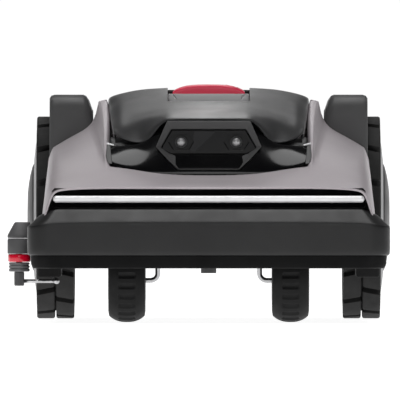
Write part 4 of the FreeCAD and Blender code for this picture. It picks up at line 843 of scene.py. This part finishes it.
def build_bumper_inside():
    """Lip that hangs below the face and the blocks that the pins stand on, both in the darker plastic that
    paints their shade.
    """
    lip = [(13, 81), (4.4, 81), (4.6, 71), (6.4, 66.4), (8.4, 65.6), (13, 65.6)]
    rows = [bumper_ring(inset, z) for inset, z in lip + lip[:1]]
    bm = bmesh.new()
    grid(bm, rows, mirror=False)
    for end in (0, -1):
        spots = [Vector(row[end]) for row in rows[:-1]]
        bm.faces.new([next(v for v in bm.verts if (v.co - spot).length < 0.001) for spot in spots])
    bevel(finish_mesh("bumper_lip", bm, "skirt", "black_plastic", body="bumper"), 0.8, 2, 40)
    profile = [(-316.8, 98), (-316.8, 113), (-308.6, 124), (-304, 134), (-299, 134), (-299, 98)]
    pin_x, half = 150, 14
    for sign, word in SIDES:
        slab(f"bumper_block_{word}", profile, "x", sign * pin_x - half, sign * pin_x + half,
             "skirt", "black_plastic", 1.5, body="bumper")


def build_skirts():
    """Side skirts behind the bumper, in the darker plastic that paints their shade."""
    profile = [(-139.6, 75), (-118, 53), (8, 53), (25.6, 83), (25.6, 116.6), (-139.6, 116.6)]
    for sign, word in SIDES:
        low, high = sorted((sign * 177, sign * 205.8))
        slab(f"side_skirt_{word}", profile, "x", low, high, "skirt", "skirt", 3,
             (f"skirt_{word}",), segments=4)


# ---------- stop button, lid

STEM_Y = -17


def build_stop_button():
    """Crowned red button on its stem."""
    low, high = box_mm("stop_button")
    front, rear, base_z = low[1], high[1], 269.2
    half = [(0, 285.4), (12, 285.2), (22, 284.6), (29, 283.4), (34.5, 281.8), (40, 279.4), (43.2, 277.2),
            (43.7, 274), (43.7, 271), (43.2, base_z)]
    # across the length: how far the crown drops at each end
    stations = [(front, -3.2), (front + 1.2, -1.4), (front + 5, -0.5), ((front + rear) / 2, 0),
                (rear - 5, -0.5), (rear - 1.2, -1.4), (rear, -3.2)]
    bm = bmesh.new()
    grid(bm, [[(x, y, z + (rise if z > 274 else 0)) for x, z in half] for y, rise in stations])
    # close the front and back faces down to the base
    for y in (front, rear):
        top = [v for v in bm.verts if abs(v.co.y - y) < 0.01 and v.co.z > 270]
        top.sort(key=lambda v: (v.co.x, v.co.z))
        base = [bm.verts.new((v.co.x * 0.992, y, base_z)) for v in top]
        for corners in zip(top, top[1:], base[1:], base):
            bm.faces.new(corners)
    weld(bm, 0.05)
    button = finish_mesh("stop_cap", bm, "red", "stop_red", ("stop_button",), "stop_button")
    subdivide(bevel(button, 1, 2, 50), 2)
    lathe("stop_stem", [(9.9, 270), (9.9, 256)], (0, STEM_Y, 0), "z", 40, "satin", "stop_red",
          body="stop_button", smooth=False)


def build_stop_tray():
    """Silver walls round the button, with two small slanted notches in front."""
    low, high = box_mm("stop_button_trim")
    bm = bmesh.new()
    prism_points(bm, rectangle(-48.8, 48.8, low[1], high[1]), "z", 262.1, 273.6)
    tray = finish_mesh("stop_tray", bm, "silver", "silver_trim", ("stop_button_trim",), smooth=False)
    hollow = cutter(rectangle(-45, 45, low[1] + 3.6, high[1] - 4.6), "z", 264.6, 290)
    stem_hole = cutter([(x, STEM_Y + y) for x, y in circle(10.6, 32)], "z", 255, 270)
    notches = []
    for sign, _ in SIDES:
        slot = [(sign * x, z) for x, z in ((38.6, 267.6), (40.2, 267.6), (43, 272.2), (41.4, 272.2))]
        notches.append(cutter(slot, "y", low[1] - 1, low[1] + 1.4))
    carve(tray, hollow, stem_hole, *notches)
    bevel(tray, 0.7, 3, 40)


# ---------- fenders

def build_fenders():
    """Arched wheel covers with a sloping inner shoulder and a rounded outer edge."""
    arch, foot, shoulder_z = 131, 30, 200
    roof = [(30.6, 153), (30.6, shoulder_z), (31.2, 240), (33, 258), (37, 267), (44.6, 272.2), (60, 272.5),
            (120, 272.5), (180, 272.5), (240, 272.5), (262, 272.2), (282, 266.5), (300, 240),
            (312, 206), (317.6, 196), (317.8, 153)]
    start = asin(foot / arch)
    under = []
    for angle in np.linspace(pi - start, start, len(roof)):
        under.append((AXLE_Y + arch * cos(angle), AXLE_Z + arch * sin(angle)))
    # across the width: how far the roof drops and how far the outline shrinks
    across = [(140.6, 37, 1), (141.4, 19, 0.4), (145.6, 7, 0.2), (149.4, 1.6, 0),
              (152.6, 0, 0), (170, 0, 0), (186.6, 0, 0), (190.4, 1.2, 0.6), (192.4, 4.2, 2.4)]
    half_length = 145.0
    for sign, word in SIDES:
        bm = bmesh.new()
        rings = []
        for x, drop, shrink in across:
            ring = []
            for y, z in roof:
                fall = drop * min(1, (z - shoulder_z) / 60) if z > shoulder_z else 0
                inward = shrink * (y - AXLE_Y) / half_length
                ring.append(bm.verts.new((sign * x, y - inward, z - fall)))
            ring += [bm.verts.new((sign * x, y, z)) for y, z in reversed(under)]
            rings.append(ring)
        bridge(bm, rings, cap=True)
        fender = finish_mesh(f"wheel_cover_{word}", bm, "fender", "fender", (f"fender_{word}",))
        bevel(fender, 1.4, 3, 40)


# ---------- wheels

AXLE = Vector((0, AXLE_Y, AXLE_Z))
TYRE_IN, TYRE_OUT = 163, 209.0
TYRE_RADIUS, TYRE_ROOT = 122.9, 114.5


def tread_block(bm, sign, start, span, low, high, lean):
    """One curved pad of the tread with sloping shoulders."""
    steps = np.linspace(-span / 2, span / 2, 7)
    foot = TYRE_ROOT - 2

    def spot(across, angle, reach):
        side = Vector((sign * across, reach * cos(angle), reach * sin(angle)))
        return bm.verts.new(AXLE + side)

    rings = []
    for across, shrink, fall in ((low, 0.94, 1.4), (low + 1.8, 1, 0), ((low + high) / 2, 1, 0),
                                 (high - 1.8, 1, 0), (high, 0.94, 1.4)):
        turn = start + lean * (across - low) / (high - low)
        wide = min(1, shrink * 1.06)
        ring = [spot(across, turn + step * shrink, TYRE_RADIUS - fall) for step in steps]
        rings.append(ring + [spot(across, turn + step * wide, foot) for step in reversed(steps)])
    bridge(bm, rings, cap=True)


def build_tyre(sign, word):
    """Ribbed sidewalls and two rows of staggered blocks."""
    root, bead = TYRE_ROOT, 98.4
    profile = [(bead, TYRE_IN + 1.5), (101, TYRE_IN + 0.3), (108, TYRE_IN), (112, TYRE_IN + 1.6),
               (root, TYRE_IN + 5), (root, TYRE_IN + 21.5), (root - 1.5, TYRE_IN + 23),
               (root, TYRE_IN + 24.5), (root, TYRE_OUT - 5), (112, TYRE_OUT - 1.6), (108, TYRE_OUT),
               (101, TYRE_OUT - 0.3), (bead, TYRE_OUT - 1.5), (bead, TYRE_IN + 1.5)]
    bm = bmesh.new()
    turned(bm, profile, AXLE, "x", 160, sign)
    weld(bm)
    lugs = 16
    pitch = 2 * pi / lugs
    for low, high, phase, lean in ((TYRE_IN + 0.4, TYRE_IN + 22.2, 0, -0.05),
                                   (TYRE_IN + 23.8, TYRE_OUT - 0.4, 0.5, 0.05)):
        for index in range(lugs):
            start = -pi / 2 + (index + phase) * pitch
            tread_block(bm, sign, start, 0.82 * pitch, low, high, lean)
    tyre = finish_mesh(f"tyre_{word}", bm, "tyre", "tyre", (f"wheel_{word}_tyre",), f"wheel_{word}")
    bevel(tyre, 0.7, 2, 32)


def build_rim(sign, word):
    """Outer ring rising to the hub, the web behind it and the stub axle."""
    near, far = TYRE_IN, TYRE_OUT
    ring = [(98, near + 1), (98, far - 1.2), (96.6, far - 0.2), (92, far + 0.5), (80, far + 2.2),
            (70, far + 3.3), (68.2, far + 3.2), (68, far - 6), (66, far - 8), (20, far - 8),
            (18, far - 9), (18, near + 17), (20, near + 16), (90, near + 16), (92, near + 15),
            (92, near + 1)]
    bm = bmesh.new()
    turned(bm, ring + ring[:1], AXLE, "x", 96, sign)
    weld(bm)
    close_ends(bm, turned(bm, [(8, near + 20), (8, 126.2)], AXLE, "x", 40, sign))
    rim = finish_mesh(f"rim_{word}", bm, "rim", "rim_grey", (f"wheel_{word}_rim",), f"wheel_{word}")
    bevel(rim, 0.6, 2, 35)


def build_hub(sign, word):
    """Domed hub with a ring groove round its centre."""
    dome = [(67, -7), (67, 1.6), (66, 3.4), (62, 5.4), (52, 8), (40, 10), (30, 11), (24, 11.2),
            (22.6, 10.4), (21, 10.2), (20, 10.4), (19, 11.3), (8, 11.45), (0.1, 11.45)]
    profile = [(radius, TYRE_OUT + height) for radius, height in dome]
    hub = lathe(f"hub_{word}", profile, AXLE, "x", 96, "hub", "hub_black", (f"wheel_{word}_hub",),
                f"wheel_{word}", sign)
    bevel(hub, 0.5, 2, 40)


CASTER_X, SWIVEL_Y = 98, -205


def build_caster_wheel(sign, word):
    """Crowned wheel with short grooves pressed across its tread."""
    radius, half = 49.9, 22.5
    centre = Vector((sign * CASTER_X, -179, 50))
    tread = [(radius - 8.6 * abs(x / half) ** 2.6, x) for x in np.linspace(-half + 1.2, half - 1.2, 25)]
    side = [(36.5, half - 0.2), (34, half - 0.4), (31, half - 2.6), (28.5, half - 2.8), (26.6, half - 0.6),
            (24, half), (12, half), (10.6, half - 1.4), (3.2, half - 1.4)]
    ring = [(r, -x) for r, x in reversed(side)] + tread + side + [(3.2, -half + 1.4)]
    bm = bmesh.new()
    turned(bm, ring, centre, "x", 120)
    weld(bm)
    grooves, depth, groove_half_x, groove_share, tread_reach = 24, 2, 9.6, 0.16, 44
    for v in bm.verts:
        offset = v.co - centre
        reach = hypot(offset.y, offset.z)
        if reach > tread_reach and abs(offset.x) < groove_half_x:
            turn = atan2(offset.z, offset.y) * grooves / (2 * pi)
            if abs(turn % 1.0 - 0.5) < groove_share:
                pressed = offset * (reach - depth) / reach
                v.co = centre + Vector((offset.x, pressed.y, pressed.z))
    wheel = finish_mesh(f"caster_tread_{word}", bm, "caster", "caster_rubber",
                        (f"caster_{word}_wheel",), f"caster_{word}_wheel")
    bevel(wheel, 0.4, 2, 40)


def rounded_path(points, bend):
    """A polyline with its corners turned into arcs of one radius."""
    path = [points[0]]
    for before, corner, after in zip(points, points[1:], points[2:]):
        back = (before - corner).normalized()
        ahead = (after - corner).normalized()
        turn = pi - back.angle(ahead)
        cut = bend * tan(turn / 2)
        middle = corner + (back + ahead).normalized() * (bend / cos(turn / 2))
        first, last = corner + back * cut, corner + ahead * cut
        for step in range(9):
            spoke = (first - middle).lerp(last - middle, step / 8).normalized() * bend
            path.append(middle + spoke)
    return path + [points[-1]]


def sweep(bm, path, origin, radius, steps=20):
    """A round rod along a path, its rings kept in step so that it doesn't twist."""
    rings = []
    for index, spot in enumerate(path):
        ahead = path[min(index + 1, len(path) - 1)]
        behind = path[max(index - 1, 0)]
        axes = (ahead - behind).normalized().to_track_quat("Z", "Y").to_matrix()
        ring = [spot + axes @ Vector((a, b, 0)) for a, b in circle(radius, steps)]
        if rings:
            best = min(range(steps), key=lambda shift: (ring[shift] - rings[-1][0]).length)
            ring = ring[best:] + ring[:best]
        rings.append(ring)
    bridge(bm, [[bm.verts.new(origin + v) for v in ring] for ring in rings], cap=True)


def build_caster_fork(sign, word):
    """One steel rod bent from the wheel's axle up to the swivel spindle."""
    swivel = Vector((sign * CASTER_X, SWIVEL_Y, 0))
    arm_x, axle_y, axle_z, top_z = -sign * 37, 26, 50, 110
    points = [Vector(spot) for spot in ((sign * 12, axle_y, axle_z), (arm_x, axle_y, axle_z),
                                        (arm_x, 0, top_z), (0, 0, top_z), (0, 0, top_z + 10))]
    bm = bmesh.new()
    sweep(bm, rounded_path(points, 9), swivel, 3)
    spindle = [(3.2, 115.4), (5.4, 115.4), (6, 116), (6, 145.8), (6, 146.4), (9, 146.6), (9, 149.2),
               (8, 149.6), (2, 149.6)]
    close_ends(bm, turned(bm, spindle, swivel, "z", 36))
    fork = finish_mesh(f"caster_rod_{word}", bm, "steel", "steel", (f"caster_{word}_fork",),
                       f"caster_{word}")
    bevel(fork, 0.3, 2, 50)


# ---------- edge trimmer

TRIMMER = (-228.6, -20, 0)


def build_trimmer_case():
    """Motor case, its cap with an upright inner side, and the red ring."""
    case = [(12.2, 80.6), (13.9, 80.6), (14.19, 81.4), (14.19, 97.6), (13.6, 98.2), (13.6, 99),
            (12.2, 99)]
    lathe("trimmer_case", case, TRIMMER, "z", 72, "inner", "black_plastic", ("trimmer_housing",),
          loop=True)
    cap = [(0.1, 99.5), (13.4, 99.5), (14.19, 100.2), (14.19, 102.4), (13.6, 104), (6.4, 117.2),
           (5.2, 118.5), (4.4, 118.8), (0.1, 118.8)]
    bm = bmesh.new()
    rings = turned(bm, cap, TRIMMER, "z", 72)
    # the side towards the body stays upright
    upright, from_z = 13, 102
    for v in bm.verts:
        across = v.co.x - TRIMMER[0]
        reach = hypot(across, v.co.y - TRIMMER[1])
        if across > 0 and v.co.z > from_z and reach > 1:
            v.co.x = TRIMMER[0] + across * (1 + (upright / reach - 1) * across / reach)
    close_ends(bm, rings)
    bevel(finish_mesh("trimmer_top", bm, "inner", "black_plastic", ("trimmer_cap",)), 0.6, 2, 40)
    band = [(8, 70.8), (12.6, 70.8), (13.5, 71.6), (13.6, 75.5), (13.5, 79.4), (12.8, 80.2), (8, 80.2)]
    lathe("trimmer_band", band, TRIMMER, "z", 72, "ring", "trim_red", ("trimmer_ring",), loop=True)


def build_trimmer_head():
    """Ribbed spool, faceted post and the rod with its ball end."""
    ribs = [(3.8, 80.4), (3.8, 70.2), (11.6, 70.2), (12.5, 69.4), (12.5, 67.8), (11.4, 67.2),
            (11.4, 66.6), (12.6, 66), (12.6, 63.9), (11.4, 63.3), (11.4, 62.7), (12.6, 62.1),
            (12.6, 59.8), (11.8, 59), (6.2, 59)]
    head, slot = "trimmer_head", "spool_grey"
    spool = lathe("trimmer_ribs", ribs, TRIMMER, "z", 72, "spool", slot, ("trimmer_spool",), head)
    bevel(spool, 0.25, 2, 40)
    post = [(5.9, 58.9), (6.3, 57.6), (6.2, 43), (5.5, 41.8)]
    bevel(lathe("trimmer_post", post, TRIMMER, "z", 8, "inner", slot, body=head, smooth=False), 0.7)
    rod_place = (TRIMMER[0], TRIMMER[1], 47.6)
    ball = [(3.6 * sin(a), 45 - 3.6 * cos(a)) for a in np.linspace(0.03, pi - 0.03, 16)]
    bm = bmesh.new()
    for profile in ([(2.3, 4), (2.3, 42.4)], ball):
        close_ends(bm, turned(bm, profile, rod_place, "x", 24))
    finish_mesh("trimmer_rod", bm, "steel", "steel", ("trimmer_tip",), head)


# ---------- CAD nodes that stay

CAD_LOOKS = {
    # chassis_tub takes the darker plastic that paints its shade
    "chassis_tub": "skirt", "control_lid": "hood", "keypad_panel": "satin", "display": "display",
    "key_power": "key", "key_home": "key", "key_start": "key", "rear_cover": "bumper",
    "charging_contacts": "contact", "battery_pack": "satin", "main_board": "board", "antenna_puck": "inner",
    "drive_motor_left": "cast", "drive_motor_right": "cast", "wheel_bearings": "steel",
    "caster_bushes": "bronze", "deck_guide_rods": "steel", "lift_bridge": "inner", "lift_motor": "cast",
    "lift_screw": "steel", "deck_carriage": "inner", "cutting_motor": "cast", "blade_disc": "inner",
    "blade_screws": "steel", "blade_1": "blade", "blade_2": "blade", "blade_3": "blade",
    "trimmer_arm": "satin", "trimmer_motor": "cast", "bumper_pins": "steel",
}


def dress_cad():
    """Give the CAD nodes that stay their materials."""
    for node, look in CAD_LOOKS.items():
        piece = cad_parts[node]
        piece.data.materials.clear()
        piece.data.materials.append(MAT[look])


# ---------- stage, lights and camera

def build_stage():
    """A wide floor just under the tyres, whose own glow keeps it white."""
    bm = bmesh.new()
    for x, y in rectangle(-60, 60, -60, 60):
        bm.verts.new((x, y, -0.0004))
    bm.faces.new(bm.verts)
    mesh = mesh_from("floor", bm)
    floor = add_object("floor", mesh)
    nodes = Nodes("studio_floor")
    inputs = nodes.shader.inputs
    tone = nodes.ramp(nodes.noise(3), 0.4, 0.6)
    nodes.link(nodes.mix(tone, shade(0.34), shade(0.36)), inputs["Base Color"])
    inputs["Roughness"].default_value = 0.9
    inputs["Emission Color"].default_value = (1, 1, 1, 1)
    inputs["Emission Strength"].default_value = 0.93
    mesh.materials.append(nodes.material)


def area_light(name, place, aim, size, power):
    data = bpy.data.lights.new(name, "AREA")
    data.shape = "RECTANGLE"
    data.size, data.size_y = size
    data.energy = power
    lamp = add_object(name, data)
    lamp.location = place
    lamp.rotation_euler = (Vector(aim) - Vector(place)).to_track_quat("-Z", "Y").to_euler()


def sun_light(name, energy, spread, tilt):
    """A broad sun; a positive tilt lights the front, a negative one comes from behind."""
    data = bpy.data.lights.new(name, "SUN")
    data.energy = energy
    data.angle = radians(spread)
    lamp = add_object(name, data)
    lamp.rotation_euler = (radians(tilt), 0, 0)


def build_world():
    """Surroundings: bright at the horizon, dim above, and brighter behind than in front."""
    scene = bpy.context.scene
    scene.view_settings.view_transform = "Standard"
    world = bpy.data.worlds.new("studio")
    scene.world = world
    world.use_nodes = True
    tree = world.node_tree
    background = tree.nodes["Background"]
    way = tree.nodes.new("ShaderNodeTexCoord")
    split = tree.nodes.new("ShaderNodeSeparateXYZ")
    tree.links.new(way.outputs["Generated"], split.inputs["Vector"])
    horizon = map_range(tree, split.outputs["Z"], (0.04, 0.28, 1, 0.15), "SMOOTHSTEP")
    rear = map_range(tree, split.outputs["Y"], (0.2, 0.9, 0.17, 1.02), "SMOOTHSTEP")
    level = tree.nodes.new("ShaderNodeMath")
    level.operation = "MULTIPLY"
    tree.links.new(horizon, level.inputs[0])
    tree.links.new(rear, level.inputs[1])
    tree.links.new(level.outputs["Value"], background.inputs["Color"])
    background.inputs["Strength"].default_value = 1.0


def build_lights():
    """Weak light from behind, a broad one overhead, a soft fill in front and a rear strip."""
    sun_light("rear_softbox", 0.14, 24, -56)
    sun_light("overhead_softbox", 2.1, 44, 6)
    area_light("front_softbox", (0, -2.6, 1), (0, -0.1, 0.18), (1.6, 0.5), 7)
    area_light("rear_strip", (0, 1.2, 0.82), (0, -0.2, 0.25), (0.14, 0.3), 0.3)


def build_camera_view():
    """Long lens far in front of the nose, a hair above level."""
    distance, lens_mm, rise = 22, 1650, radians(0.35)
    aim = Vector((-10.4 * MM, -0.15, 146.2 * MM))
    data = bpy.data.cameras.new("camera")
    data.lens = lens_mm
    data.sensor_width = 36.0
    data.clip_start = 1.0
    data.clip_end = 200.0
    camera = add_object("camera", data)
    camera.location = aim + Vector((0, -distance * cos(rise), distance * sin(rise)))
    camera.rotation_euler = (radians(90) - rise, 0, 0)
    bpy.context.scene.camera = camera


build_shell()
build_shell_tail()
build_lining()
build_hood()
build_cheeks()
build_fascia()
build_fascia_ends()
build_camera()
build_camera_window()
build_lenses()
build_light_rod()
build_light_trough()
build_bumper()
build_bumper_inside()
build_skirts()
build_stop_button()
build_stop_tray()
build_fenders()
for side, side_name in SIDES:
    build_tyre(side, side_name)
    build_rim(side, side_name)
    build_hub(side, side_name)
    build_caster_wheel(side, side_name)
    build_caster_fork(side, side_name)
build_trimmer_case()
build_trimmer_head()
dress_cad()
settle()
build_stage()
build_world()
build_lights()
build_camera_view()
